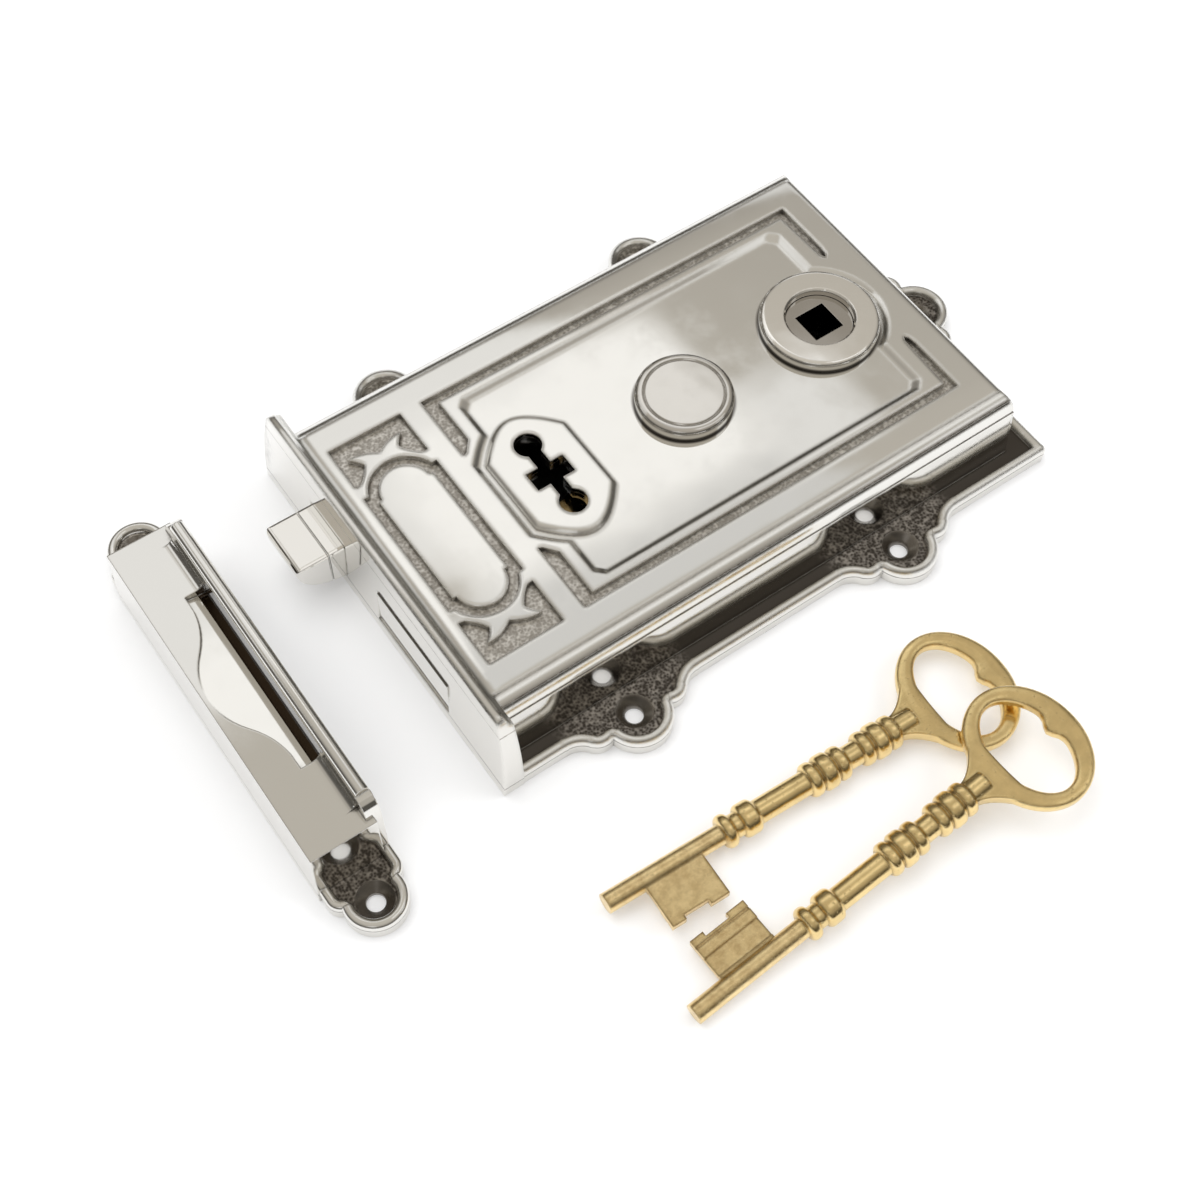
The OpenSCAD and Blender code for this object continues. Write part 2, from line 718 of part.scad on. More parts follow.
module follower() {
    z_horn = bolt_mid - latch_tail_h/2;
    color("goldenrod") translate([spindle_x, 0, 0]) difference() {
        union() {
            cylinder(r = follower_r, h = panel_z + collar_h - follower_sunk);
            rod(0, 0, hub_r, back_t + 0.3, roof_z - 0.3);
            rotate([0, 0, half_turn]) translate([0, 0, z_horn]) {
                translate([-horn_r, 0, 0]) cube([2*horn_r, horn_l, latch_tail_h]);
                translate([0, horn_l, 0]) cylinder(r = horn_r, h = latch_tail_h);
            }
        }
        translate([-spindle_sq/2, -spindle_sq/2, -1]) cube([spindle_sq, spindle_sq, forend_h + 5]);
    }
}
module latch_bolt() {
    z1 = bolt_z + bolt_h;
    root = forend_foot_x - 0.8;
    r = 0.8;
    nose = bez([root, bolt_z], [latch_tip + 1.6, bolt_z + 0.18*bolt_h], [latch_tip, z1 - 2.4]);
    tip_edge = bez([latch_tip, z1 - 2.4], [latch_tip, z1], [latch_tip + 1.8, z1], 6);
    end = bez([latch_tip + 1.6, latch_y1], [latch_tip, latch_y1], [latch_tip, latch_y1 - 1.6], 6);
    mid = latch_y + latch_w/2;
    tz = bolt_mid - latch_tail_h/2;
    color("gainsboro") {
        difference() {
            intersection() {
                along_y(latch_y, latch_y1)
                    polygon(concat([[latch_back, bolt_z]], nose, tip_edge, [[latch_back, z1]]));
                translate([0, mid, bolt_z - 1]) linear_extrude(bolt_h + 2)
                    polygon(concat([[latch_back, latch_w/2]], [for (p = end) p - [0, mid]],
                        flip_y([for (p = end) p - [0, mid]]), [[latch_back, -latch_w/2]]));
                along_x(latch_tip - 1, latch_back + 1)
                    polygon([[latch_y, bolt_z], [latch_y1, bolt_z], [latch_y1, z1 - r], [latch_y1 - 0.3*r, z1 - 0.3*r],
                        [latch_y1 - r, z1], [latch_y + r, z1], [latch_y + 0.3*r, z1 - 0.3*r], [latch_y, z1 - r]]);
            }
            difference() {
                block(root - 2.6, root - 2.2, latch_y - 1, latch_y1 + 1, bolt_z - 1, z1 + 1);
                block(root - 3, root, latch_y + 0.3, latch_y1 - 0.3, bolt_z - 2, z1 - 0.3);
            }
        }
        block(latch_back - 1, hook_x1, tail_y0, tail_y1, tz, tz + latch_tail_h);
        block(hook_x0, hook_x1, hook_y0, tail_y1, tz, tz + latch_tail_h);
    }
}
// Ring of wire corners at a place along the coil
coil_x0 = hook_x1 + wire_r + 0.15;
coil_x1 = in_x1 - wire_r - 0.15;
coil_steps = 8*coil_n;
coil_sides = 6;
function coil_at(i) = let (a = 360*i/8)
    [coil_x0 + (coil_x1 - coil_x0)*i/coil_steps, coil_y + coil_r*cos(a), bolt_mid + coil_r*sin(a)];
coil_pitch = (coil_x1 - coil_x0)/coil_n;
echo(coil_self_gap = coil_pitch - 2*wire_r);
module latch_spring() {
    pts = [for (i = [0:coil_steps], k = [0:coil_sides-1])
        let (p = coil_at(i), a = 360*i/8, b = 360*k/coil_sides)
        p + wire_r*[cos(b), sin(b)*cos(a), sin(b)*sin(a)]];
    n = coil_sides;
    skin = [for (i = [0:coil_steps-1], k = [0:n-1], h = [0, 1]) let (j = (k + 1) % n)
        h == 0 ? [i*n + k, (i + 1)*n + k, (i + 1)*n + j] : [i*n + k, (i + 1)*n + j, i*n + j]];
    ends = concat([for (k = [1:n-2]) [0, k, k + 1]],
        [for (k = [1:n-2]) [coil_steps*n, coil_steps*n + k + 1, coil_steps*n + k]]);
    color("lightsteelblue") polyhedron(points = pts, faces = concat(skin, ends), convexity = 10);
}

// Deadbolt, its pins and the levers

module deadbolt() {
    z1 = bolt_z + bolt_h;
    c = 0.5;
    t0 = key_x + throw/2 - talon_w/2;
    color("gainsboro") difference() {
        union() {
            along_y(-dead_w, 0)
                polygon([[dead_x1, bolt_z], [dead_x0 + c, bolt_z], [dead_x0, bolt_z + c], [dead_x0, z1 - c],
                    [dead_x0 + c, z1], [dead_x1, z1]]);
            block(dead_x1 - 1, tail_end, -dead_w, tail_top_y, bolt_z, dead_tail_z1);
        }
        translate([0, 0, bolt_z - 1]) linear_extrude(dead_tail_h + 2) {
            polygon([[t0, tail_top_y + 1], [t0 + 1.2, tail_top_y - talon_d],
                [t0 + talon_w - 1.2, tail_top_y - talon_d], [t0 + talon_w, tail_top_y + 1]]);
            translate([guide_x, guide_y - guide_r - run_c]) square([throw, 2*(guide_r + run_c)]);
            for (d = [0, throw]) translate([guide_x + d, guide_y]) circle(r = guide_r + run_c);
        }
        rod(stump[0], stump[1], stump_r, bolt_z - 1, dead_tail_z1 + 1);
    }
}
module bolt_stump() {
    color("goldenrod") rod(stump[0], stump[1], stump_r, bolt_z, lever_top + 0.8);
}
module bolt_guide_pin() {
    color("goldenrod") rod(guide_x, guide_y, guide_r, 0, dead_tail_z1 - 0.1);
}
module lever_post() {
    color("goldenrod") {
        rod(pivot[0], pivot[1], post_r, 0, roof_z);
        rod(pivot[0], pivot[1], post_r + 2, back_t, lever_z1 - seat_c);
    }
}
module lever_spacer() {
    color("goldenrod") difference() {
        rod(pivot[0], pivot[1], post_r + 2.6, spacer_z, spacer_z + spacer_t);
        rod(pivot[0], pivot[1], post_r + run_c, spacer_z - 1, spacer_z + spacer_t + 1);
    }
}
// Where the stump lies in a lever's own frame after a share of the throw
function stump_in_lever(k) = let (a = -lever_lift*k, d = [stump[0] - throw*k, stump[1]] - pivot)
    pivot + [d[0]*cos(a) - d[1]*sin(a), d[0]*sin(a) + d[1]*cos(a)];
lever_foot_y = stump[1] - 6.4;
module lever_arm(boss) {
    polygon([[pivot[0] + 1, lever_foot_y + 0.4], [pivot[0] - 4, lever_foot_y], [key_x - 9, lever_foot_y],
        [key_x - 13, lever_foot_y + 4.5], [key_x - 13, -0.5], [key_x + 19, -0.5],
        [pivot[0] + 1, pivot[1] + boss - 0.6]]);
}
// The gate that lets the stump pass: a slanting slot with a pocket at each end
module lever_gate() {
    p0 = stump_in_lever(0);
    p1 = stump_in_lever(1);
    gate = stump_r + 0.4;
    turn = atan2(p1[1] - p0[1], p1[0] - p0[0]);
    translate(p0) rotate(turn) translate([0, -gate]) square([norm(p1 - p0), 2*gate]);
    translate(p0 - [gate + 0.4, gate + 0.4]) square([2*gate + 0.8, 2*gate + 1.8]);
    translate(p1 - [gate + 0.4, gate + 1.4]) square([2*gate + 0.8, 2*gate + 1.8]);
}
module lever(z) {
    boss = post_r + 3.5;
    color("khaki") difference() {
        union() {
            rod(pivot[0], pivot[1], boss, z, z + lever_t);
            translate([0, 0, z]) linear_extrude(lever_t) lever_arm(boss);
        }
        rod(key_x, keyhole_y, belly_r, z - 1, z + lever_t + 1);
        rod(pivot[0], pivot[1], post_r + run_c, z - 1, z + lever_t + 1);
        translate([0, 0, z - 1]) linear_extrude(lever_t + 2) lever_gate();
    }
}
module lever_1() { lever(lever_z1); }
module lever_2() { lever(lever_z2); }
// A flat spring from the lever's foot edge to the near wall
module leaf(z) {
    a = [pivot[0] - 12, lever_foot_y];
    c = [key_x - 12, -in_y + 0.3];
    b = [key_x + 12, -in_y + 3];
    top = bez(a, b, c + [0, leaf_t], 10);
    low = bez(a + [leaf_t*1.5, 0], b - [0, leaf_t], c, 10);
    color("lightsteelblue") translate([0, 0, z + 0.1]) linear_extrude(lever_t - 0.2)
        polygon(concat(top, [for (i = [len(low)-1:-1:0]) low[i]]));
}
module lever_spring_1() { leaf(lever_z1); }
module lever_spring_2() { leaf(lever_z2); }

// Keep

// Plan of the dished lead-in, measured back from the front plate
function scoop_half() =
    let (neck = -keep_plate_t - 4.9, belly = keep_back + 1)
    concat([[neck, scoop_y]], bez([neck, 0.84*scoop_y], [neck - 0.6, 0.62*scoop_y], [0.5*(neck + belly), 0.44*scoop_y], 6),
        bez([0.5*(neck + belly), 0.44*scoop_y], [belly, 0.24*scoop_y], [belly, 0], 6));
module scoop() {
    half = scoop_half();
    run = -keep_plate_t - keep_back - 1;
    tilt = atan(scoop_d/run);
    intersection() {
        translate([0, 0, keep_h - keep_roof]) linear_extrude(keep_roof + keep_cove + 1)
            polygon(concat([[-keep_plate_t, scoop_y]], half, flip_y(half), [[-keep_plate_t, -scoop_y]]));
        translate([keep_back + 1, -scoop_y - 1, keep_h]) rotate([0, tilt, 0])
            cube([2*run, 2*scoop_y + 2, keep_roof + keep_cove + 2]);
    }
}
// The rim is a little lower on the small lobes beside the keep's ears
side_drop = 0.25;
module keep_ear() {
    sv = keep_side_r - 0.1;
    su = 0.3 - keep_back/2 - keep_side_r;
    lobe = keep_side_r - rim_w/2;
    p = [su, sv - keep_ear_v];
    n = notch(keep_ear_r, keep_side_r, p);
    lobe_floor(keep_ear_r, keep_side_r, keep_ear_v, p, n);
    translate([-su - lobe, -1, 0]) cube([2*(su + lobe), sv + 1, flange_t]);
    rim_arc(0, keep_ear_v, keep_ear_r - rim_w/2, way(n) - rim_lap, 180 + rim_lap - way(n));
    for (s = [0, 1]) mirror([s, 0, 0]) {
        rim_turn(n[0], keep_ear_v + n[1], 180 + way(n), 180 + way(n - p));
        rim_arc(su, sv, lobe, 0, way(n - p) + 2*rim_lap, side_drop);
        translate([su + lobe, -1, 0]) rotate([0, 0, 90]) rim_bar_x(0, sv + 1, 0, side_drop);
    }
}
module at_keep_ears() {
    both_y() translate([keep_back/2, keep_l/2, 0]) children();
}
module keep_body() {
    d = 0.7;
    y = keep_l/2;
    plate_y = y - 1;
    z_roll = keep_top - keep_plate_t/2;
    corner = bez([plate_y, z_roll - 8], [plate_y, z_roll], [plate_y - 4, z_roll], 6);
    hollow = bez([-keep_plate_t, keep_h + keep_cove], [-keep_plate_t, keep_h], [-keep_plate_t - keep_cove, keep_h - eps]);
    intersection() {
        along_x(keep_back - d, -keep_plate_t/2) polygon([[-y - d, 0], [y + d, 0], [y, keep_h], [-y, keep_h]]);
        along_y(-y - 2, y + 2)
            polygon([[keep_back - d, 0], [0, 0], [0, keep_h], [keep_back, keep_h]]);
    }
    along_y(4 - plate_y, plate_y - 4) polygon(concat([[-keep_plate_t + 1, keep_h - 1]], hollow));
    along_x(-keep_plate_t, 0) polygon(concat([[-plate_y - d, 0], [plate_y + d, 0]], corner, flip_x(corner)));
    translate([-keep_plate_t/2, plate_y - 4, z_roll]) rotate([90, 0, 0])
        cylinder(r = keep_plate_t/2, h = 2*(plate_y - 4));
    at_keep_ears() keep_ear();
}
module keep() {
    y_in = keep_l/2 - keep_wall;
    z_in = keep_h - keep_roof;
    color("silver") translate([keep_x, keep_y, 0]) difference() {
        keep_body();
        block(keep_back + keep_wall, -keep_plate_t + eps, -y_in, y_in, -1, z_in);
        block(-keep_plate_t - 1, 1, -mouth_y, mouth_y, bolt_z - 1.5, z_in);
        scoop();
        block(-keep_plate_t - slit_w, -keep_plate_t, -scoop_y + 0.4, scoop_y - 0.4, z_in - 1, keep_top);
        at_keep_ears() ear_drill(keep_ear_v);
    }
}

// Keys

bow_x0 = key_l - bow_l;
// A turned bead on the shank: its two sides are rounded over to its own radius
module bead(x, w, r) {
    e = min(w/2, 1.2);
    square_r = r - e;
    translate([x, 0]) square([w, square_r]);
    translate([x + e, 0]) square([w - 2*e + eps, r]);
    for (c = [x + e, x + w - e]) translate([c, square_r]) circle(r = e, $fn = 32);
}
// Section of the shank and its rings: distance along the key against radius
module shank_section() {
    rings1 = bow_x0 - 28.8;
    rings2 = bow_x0 - 15;
    collar1 = bow_x0 - 51;
    collar_out = pin_r + 1.6;
    square([collar1 + 1, pin_r]);
    translate([collar1, 0]) square([9.5, pin_r + 0.5]);
    bead(collar1, 2.8, collar_out);
    bead(collar1 + 4.6, 4.4, collar_out);
    translate([collar1 + 8.5, 0]) square([bow_x0 - collar1 - 8.5, pin_r + 0.5]);
    for (x = [rings1, rings2]) {
        translate([x, 0]) square([10.2, pin_r + 0.9]);
        bead(x, 3, ring_r - 0.2);
        bead(x + 3.2, 3.8, ring_r);
        bead(x + 7.2, 3, ring_r - 0.2);
    }
}
// Outline and inner outline of the bow, by the angle round its middle
function bow_out(t) = [bow_x0 + bow_l/2 + bow_l/2*cos(t), bow_w/2*sin(t)];
function bow_in(t) = let (cusp = 2.2*exp(-pow((t > 180 ? t - 360 : t)/11, 2)))
    [bow_x0 + 4.8 + (bow_l - 9.9)/2*(1 + cos(t)) - cusp, (bow_w/2 - 3.4)*sin(t)];
// A number drawn towards 1 or -1, which squares up a round section
function squared(v) = sign(v)*pow(abs(v), 0.6);
module bow() {
    rings = 60;
    sides = 14;
    pts = [for (i = [0:rings-1], k = [0:sides-1])
        let (t = 360*i/rings, b = 360*(k + 0.5)/sides, o = bow_out(t), n = bow_in(t),
            p = (o + n)/2 + (o - n)/2*squared(cos(b)))
        [p[0], p[1], bow_t/2*squared(sin(b))]];
    function at(i, k) = (i % rings)*sides + k % sides;
    faces = [for (i = [0:rings-1], k = [0:sides-1], h = [0, 1])
        h == 0 ? [at(i, k), at(i + 1, k + 1), at(i + 1, k)] : [at(i, k), at(i, k + 1), at(i + 1, k + 1)]];
    polyhedron(points = pts, faces = faces, convexity = 6);
}
// A key along +X with its tip at the origin and its bit towards -Y
module key_body() {
    neck = bez([bow_x0 - 5, pin_r + 0.3], [bow_x0 - 0.6, 3.1], [bow_x0 + 4.6, 10.8], 8);
    web = bez([bow_x0 + 5.4, 8], [bow_x0 + 5, 4], [bow_x0 + 5, 0], 4);
    half = concat(neck, web);
    rotate([90, 0, 90]) rotate_extrude() mirror([1, -1]) shank_section();
    translate([0, 0, -bow_t/2 + 0.2]) linear_extrude(bow_t - 0.4)
        polygon(concat(half, flip_y(half)));
    bow();
    difference() {
        block(bit_x, bit_x + bit_l, -bit_reach, 0, -bit_t/2, bit_t/2);
        block(bit_x + 3.4, bit_x + bit_l - 4.6, -bit_reach - 1, -bit_reach + 1.1, -bit_t, bit_t);
        block(bit_x - 1, bit_x + bit_l + 1, -bit_reach + 4.6, -pin_r - 0.4, -bit_t, -bit_t/2 + 0.6);
        block(bit_x - 1, bit_x + bit_l + 1, -bit_reach + 1.6, -bit_reach + 2.2, -bit_t, -bit_t/2 + 0.4);
    }
}
// Places of the keys as laid out: tip, turn about Z and tilt of the upper key
back_tip = [-73.5, -84.7, ring_r];
back_turn = -2.3;
front_tip = [-72, -113.6, pin_r + 0.1];
front_turn = 3;
front_tilt = -asin((ring_r + bow_t - front_tip[2] + 0.3)/bow_x0);
module key_back() {
    color("goldenrod") translate(back_tip) rotate([0, 0, back_turn]) key_body();
}
module key_front() {
    color("gold") translate(front_tip) rotate([0, front_tilt, front_turn]) rotate([180, 0, 0]) key_body();
}

case();
back_plate();
back_plate_screws();
collar();
button();
follower();
latch_bolt();
latch_spring();
deadbolt();
bolt_stump();
bolt_guide_pin();
lever_1();
lever_2();
lever_spring_1();
lever_spring_2();
lever_post();
lever_spacer();
keep();
key_back();
key_front();
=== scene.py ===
import bmesh
import bpy
from mathutils import Matrix, Vector


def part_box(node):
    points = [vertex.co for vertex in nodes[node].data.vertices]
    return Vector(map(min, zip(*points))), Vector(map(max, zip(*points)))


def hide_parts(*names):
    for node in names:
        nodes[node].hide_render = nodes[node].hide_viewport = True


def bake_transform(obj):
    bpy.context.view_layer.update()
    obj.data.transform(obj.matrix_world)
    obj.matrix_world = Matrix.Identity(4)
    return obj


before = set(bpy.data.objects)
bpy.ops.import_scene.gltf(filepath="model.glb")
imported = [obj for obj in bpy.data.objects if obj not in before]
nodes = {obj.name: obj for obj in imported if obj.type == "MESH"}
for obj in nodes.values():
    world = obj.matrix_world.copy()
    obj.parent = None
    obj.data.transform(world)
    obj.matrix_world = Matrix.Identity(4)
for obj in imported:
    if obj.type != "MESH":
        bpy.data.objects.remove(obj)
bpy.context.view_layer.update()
scene = bpy.context.scene
scene.view_settings.view_transform = "Standard"

# Lengths are in metres
MM = 0.001


# Places on the lock that its finishes follow

# Heights of the cast floors that keep a dark, stippled finish, and how closely a face has to lie at one
GROOVE_FLOOR = 21.7 * MM
EAR_FLOOR = 3.0 * MM
FLOOR_SLACK = 0.12 * MM

# Ears on the long sides of the case, in pairs about a middle, and the ear at its tail
EAR_MIDDLE = -4.0 * MM
EAR_OFFSET = 38.0 * MM
EAR_HOLE_Y = 51.3 * MM
TAIL_WALL = 72.0 * MM
TAIL_HOLE_X = 80.7 * MM

# The two ears of the keep
KEEP_MIDDLE = -4.5 * MM
KEEP_HOLE_X = -111.7 * MM
KEEP_HOLE_Y = 51.8 * MM

# A countersink reaches this far from the middle of its hole, and starts this far below the ear's floor
SINK_R = 4.4 * MM
SINK_STEP = 0.05 * MM

# The stipple of an ear fades into the plain flange between these distances from the ear's middle
STIPPLE_END = 13.0 * MM
PLAIN_START = 19.0 * MM

# The ears are painted lighter towards the far side, as painted reflected light, and wholly so from here on
FAR_LIGHT_FROM = 40.0 * MM

# The hollow of the keep, its slit and its mouth, raw casting painted dark as painted shade, by their lowest
# and highest corners
KEEP_HOLLOW = ((-118.3 * MM, -46.3 * MM, -0.5 * MM), (-106.3 * MM, 37.3 * MM, 16.2 * MM))
KEEP_SLIT = ((-108.6 * MM, -29.2 * MM, 15.0 * MM), (-106.3 * MM, 20.2 * MM, 18.4 * MM))
KEEP_MOUTH = ((-106.6 * MM, -36.6 * MM, 2.4 * MM), (-103.1 * MM, 27.6 * MM, 15.9 * MM))

# The panel that the collar and the button stand on, and the painted contact shadow, with some patina, that
# their feet keep above it
PANEL_TOP = 22.0 * MM
FOOT_SHADOW_START = 0.3 * MM
FOOT_SHADOW_END = 1.3 * MM
FOOT_SHADOW = 0.85
# The painted contact shadow, with some patina, that the panel keeps round those feet
RING_START = 0.1 * MM
RING_END = 0.9 * MM
RING_SHADOW = 0.8

# The buffed border of the case falls away towards its long edges, from here on, by the square of the
# distance times this
PILLOW_START = 34.0 * MM
PILLOW_FALL = 7.0

# The keys are dull and stained from their tips up to here along the X axis
KEY_PIN_END = -43.5 * MM
KEY_PIN_FADE = 1.5 * MM


# Colours of the metals and of what lies on them

NICKEL_FACE = (0.79, 0.78, 0.75, 1)
# Upright walls of the nickel are painted a little darker and warmer than its faces, as painted shade
NICKEL_WALL_SHADED = (0.78, 0.765, 0.73, 1)
# The collar's face is painted lighter and the button's darker than the case's nickel, as painted light and
# painted shade
COLLAR_FACE_LIT = (0.90, 0.88, 0.84, 1)
BUTTON_FACE_SHADED = (0.64, 0.62, 0.585, 1)
# The follower's sunken face and the walls of its square hole are painted dark, as painted shade
SOCKET_FACE_SHADED = (0.50, 0.475, 0.44, 1)
SOCKET_WALL_SHADOW = (0.06, 0.055, 0.048, 1)
BOLT_FACE = (0.86, 0.84, 0.80, 1)
# Patina of the hollows, also laid as painted shade round the turned feet and in the square hole
PATINA_AND_SHADE = (0.052, 0.043, 0.034, 1)
GROOVE_PITS = (0.37, 0.345, 0.31, 1)
GROOVE_POINTS = (0.80, 0.775, 0.73, 1)
GROOVE_DIRT = (0.05, 0.043, 0.035, 1)
EAR_PITS = (0.06, 0.052, 0.044, 1)
EAR_POINTS = (0.38, 0.35, 0.315, 1)
# Lighter stipple of the far ears, as painted reflected light
FAR_LIT_PITS = (0.24, 0.22, 0.195, 1)
FAR_LIT_POINTS = (0.72, 0.69, 0.64, 1)
# The plain flange of the case between its ears, painted dark as a painted reflection
FLANGE_DARK_REFLECTION = (0.075, 0.066, 0.057, 1)
SINK_TONE = (0.24, 0.22, 0.195, 1)
# Raw casting of the keep's hollows, darkened as painted shade
SHADED_RAW_CASTING = (0.07, 0.047, 0.029, 1)
KEY_BRASS = (0.90, 0.69, 0.335, 1)
# Brass of the works inside the lock, painted darker as painted shade
WORKS_BRASS_SHADED = (0.34, 0.25, 0.12, 1)
BRASS_BROWN = (0.20, 0.12, 0.05, 1)
STAIN_PALE = (0.98, 0.79, 0.46, 1)
STAIN_DARK = (0.58, 0.42, 0.22, 1)
PLATE_STEEL = (0.44, 0.44, 0.45, 1)
SPRING_STEEL = (0.34, 0.36, 0.39, 1)
STEEL_TARNISH = (0.20, 0.17, 0.14, 1)
WHITE = (1, 1, 1, 1)


# Roughness of the finishes, with two values where it changes over the surface

NICKEL_ROUGH = (0.045, 0.10)
PATINA_ROUGH = 0.38
GROOVE_ROUGH = 0.32
EAR_ROUGH = 0.30
SINK_ROUGH = 0.22
RAW_ROUGH = 0.55
BRASS_ROUGH = (0.06, 0.15)
BROWN_ROUGH = 0.5
STAIN_ROUGH = 0.25
PLATE_ROUGH = (0.26, 0.42)
SPRING_ROUGH = (0.2, 0.32)


# Node helpers

FLOAT = "NodeSocketFloat"
VECTOR = "NodeSocketVector"
# Where a Mix node keeps its two inputs and its result, for values and for colours
MIX_SOCKETS = {"FLOAT": (2, 3, 0), "RGBA": (6, 7, 2)}


def feed(tree, socket, value):
    """Links a socket, or sets it where a plain value is given."""
    if isinstance(value, bpy.types.NodeSocket):
        tree.links.new(value, socket)
    else:
        socket.default_value = value


def feed_in_order(tree, node, *values):
    """Feeds a node's first inputs in their order, and gives its first output."""
    for socket, value in zip(node.inputs, values):
        feed(tree, socket, value)
    return node.outputs[0]


def put(tree, kind, **values):
    """A new shader node, with its settings and its inputs given by name."""
    node = tree.nodes.new(kind)
    for name, value in values.items():
        if name in node.bl_rna.properties:
            setattr(node, name, value)
        else:
            feed(tree, node.inputs[name], value)
    return node


def math_node(tree, operation, *values):
    """The result of one sum."""
    return feed_in_order(tree, put(tree, "ShaderNodeMath", operation=operation), *values)


def inverse(tree, mask):
    """1 where a mask is 0, and 0 where it is 1."""
    return math_node(tree, "SUBTRACT", 1.0, mask)


def mix(tree, kind, factor, first, second):
    """A blend from the first to the second of two values or two colours."""
    node = put(tree, "ShaderNodeMix", data_type=kind, Factor=factor)
    first_place, second_place, result = MIX_SOCKETS[kind]
    feed(tree, node.inputs[first_place], first)
    feed(tree, node.inputs[second_place], second)
    return node.outputs[result]


def mix_colour(tree, factor, first, second):
    """A blend of two colours."""
    return mix(tree, "RGBA", factor, first, second)


def mix_values(tree, factor, first, second):
    """A blend of two values."""
    return mix(tree, "FLOAT", factor, first, second)


def remap(tree, value, low, high, to_low=0.0, to_high=1.0):
    """A smooth step from one value to another, as a value goes from low to high."""
    node = put(tree, "ShaderNodeMapRange", interpolation_type="SMOOTHSTEP")
    return feed_in_order(tree, node, value, low, high, to_low, to_high)


def noise(tree, vector, scale, detail, roughness=0.5):
    """A random value that changes softly over the surface."""
    node = put(tree, "ShaderNodeTexNoise", Vector=vector, Scale=scale, Detail=detail, Roughness=roughness)
    return node.outputs[0]


def patches(tree, vector, scale, detail, roughness, start, full):
    """Patches of a noise: 0 up to the start of its levels, 1 where it is full."""
    return remap(tree, noise(tree, vector, scale, detail, roughness), start, full)


def axes_of(tree, vector):
    """The X, Y and Z of a place or a direction."""
    return put(tree, "ShaderNodeSeparateXYZ", Vector=vector).outputs


def object_place(tree):
    """The place on the object that is being shaded."""
    return tree.nodes.new("ShaderNodeTexCoord").outputs["Object"]


def scaled(colour, share):
    """A colour at a share of its brightness."""
    return [share * part for part in colour[:3]] + [1]


def new_group(name, inputs, outputs):
    """An empty shader group with its named sockets."""
    tree = bpy.data.node_groups.new(name, "ShaderNodeTree")
    for label, kind, value in inputs:
        socket = tree.interface.new_socket(label, in_out="INPUT", socket_type=kind)
        if value is not None:
            socket.default_value = value
    for label, kind in outputs:
        tree.interface.new_socket(label, in_out="OUTPUT", socket_type=kind)
    source = tree.nodes.new("NodeGroupInput")
    sink = tree.nodes.new("NodeGroupOutput")
    return tree, source.outputs, sink.inputs


def use_group(tree, group, **values):
    """The outputs of a group, placed with its own values."""
    node = tree.nodes.new("ShaderNodeGroup")
    node.node_tree = group
    for name, value in values.items():
        feed(tree, node.inputs[name], value)
    return node.outputs


# Masks by place

def at_level(tree, place, level):
    """1 on the flat cast floor that lies at the given height."""
    return math_node(tree, "COMPARE", axes_of(tree, place)["Z"], level, FLOOR_SLACK)


def within(tree, place, low, high):
    """1 inside the box with these lowest and highest corners."""
    axes = axes_of(tree, place)
    inside = 1.0
    for axis, start, end in zip("XYZ", low, high):
        span = math_node(tree, "COMPARE", axes[axis], (start + end) / 2, (end - start) / 2)
        inside = math_node(tree, "MULTIPLY", inside, span)
    return inside


def off_pair(tree, value, middle, half):
    """How far outside a pair of places, half to either side of a middle, a value lies along one axis."""
    from_middle = math_node(tree, "ABSOLUTE", math_node(tree, "SUBTRACT", value, middle))
    return math_node(tree, "SUBTRACT", from_middle, half)


def plan_length(tree, across, along):
    """Length in plan of a way across and along."""
    square = math_node(tree, "MULTIPLY", along, along)
    return math_node(tree, "SQRT", math_node(tree, "MULTIPLY_ADD", across, across, square))


def plan_distance(tree, place, middle):
    """Distance in plan from an upright axis."""
    axes = axes_of(tree, place)
    across = math_node(tree, "SUBTRACT", axes["X"], middle[0])
    along = math_node(tree, "SUBTRACT", axes["Y"], middle[1])
    return plan_length(tree, across, along)


def near_ears(tree, place):
    """1 round the screw ears of the case, 0 along the plain flange between them."""
    axes = axes_of(tree, place)
    off_side_ear = math_node(tree, "ABSOLUTE", off_pair(tree, axes["X"], EAR_MIDDLE, EAR_OFFSET))
    off_tail_ear = math_node(tree, "ABSOLUTE", axes["Y"])
    side_ears = remap(tree, off_side_ear, STIPPLE_END, PLAIN_START, 1.0, 0.0)
    tail_ear = remap(tree, off_tail_ear, STIPPLE_END, PLAIN_START, 1.0, 0.0)
    at_tail = math_node(tree, "GREATER_THAN", axes["X"], TAIL_WALL)
    return math_node(tree, "MAXIMUM", side_ears, math_node(tree, "MULTIPLY", tail_ear, at_tail))


# Shared effects

def make_crevice_group():
    """Dirt and patina held in hollows, also used as painted shade deep in a hole: 1 deep in a groove, 0 in
    the open.
    """
    ragged = 0.35
    ragged_middle = 0.17
    full = 0.85
    tree, source, sink = new_group(
        "crevice_patina_and_shade",
        [("Vector", VECTOR, None), ("Reach", FLOAT, 2.5 * MM), ("Onset", FLOAT, 0.75)],
        [("Mask", FLOAT)],
    )
    sky = put(tree, "ShaderNodeAmbientOcclusion", samples=8, only_local=True, Distance=source["Reach"])
    shade = inverse(tree, sky.outputs["AO"])
    broken = noise(tree, source["Vector"], scale=900.0, detail=4.0)
    level = math_node(tree, "SUBTRACT", shade, ragged_middle)
    uneven = math_node(tree, "MULTIPLY_ADD", broken, ragged, level)
    feed(tree, sink["Mask"], remap(tree, uneven, inverse(tree, source["Onset"]), full))
    return tree


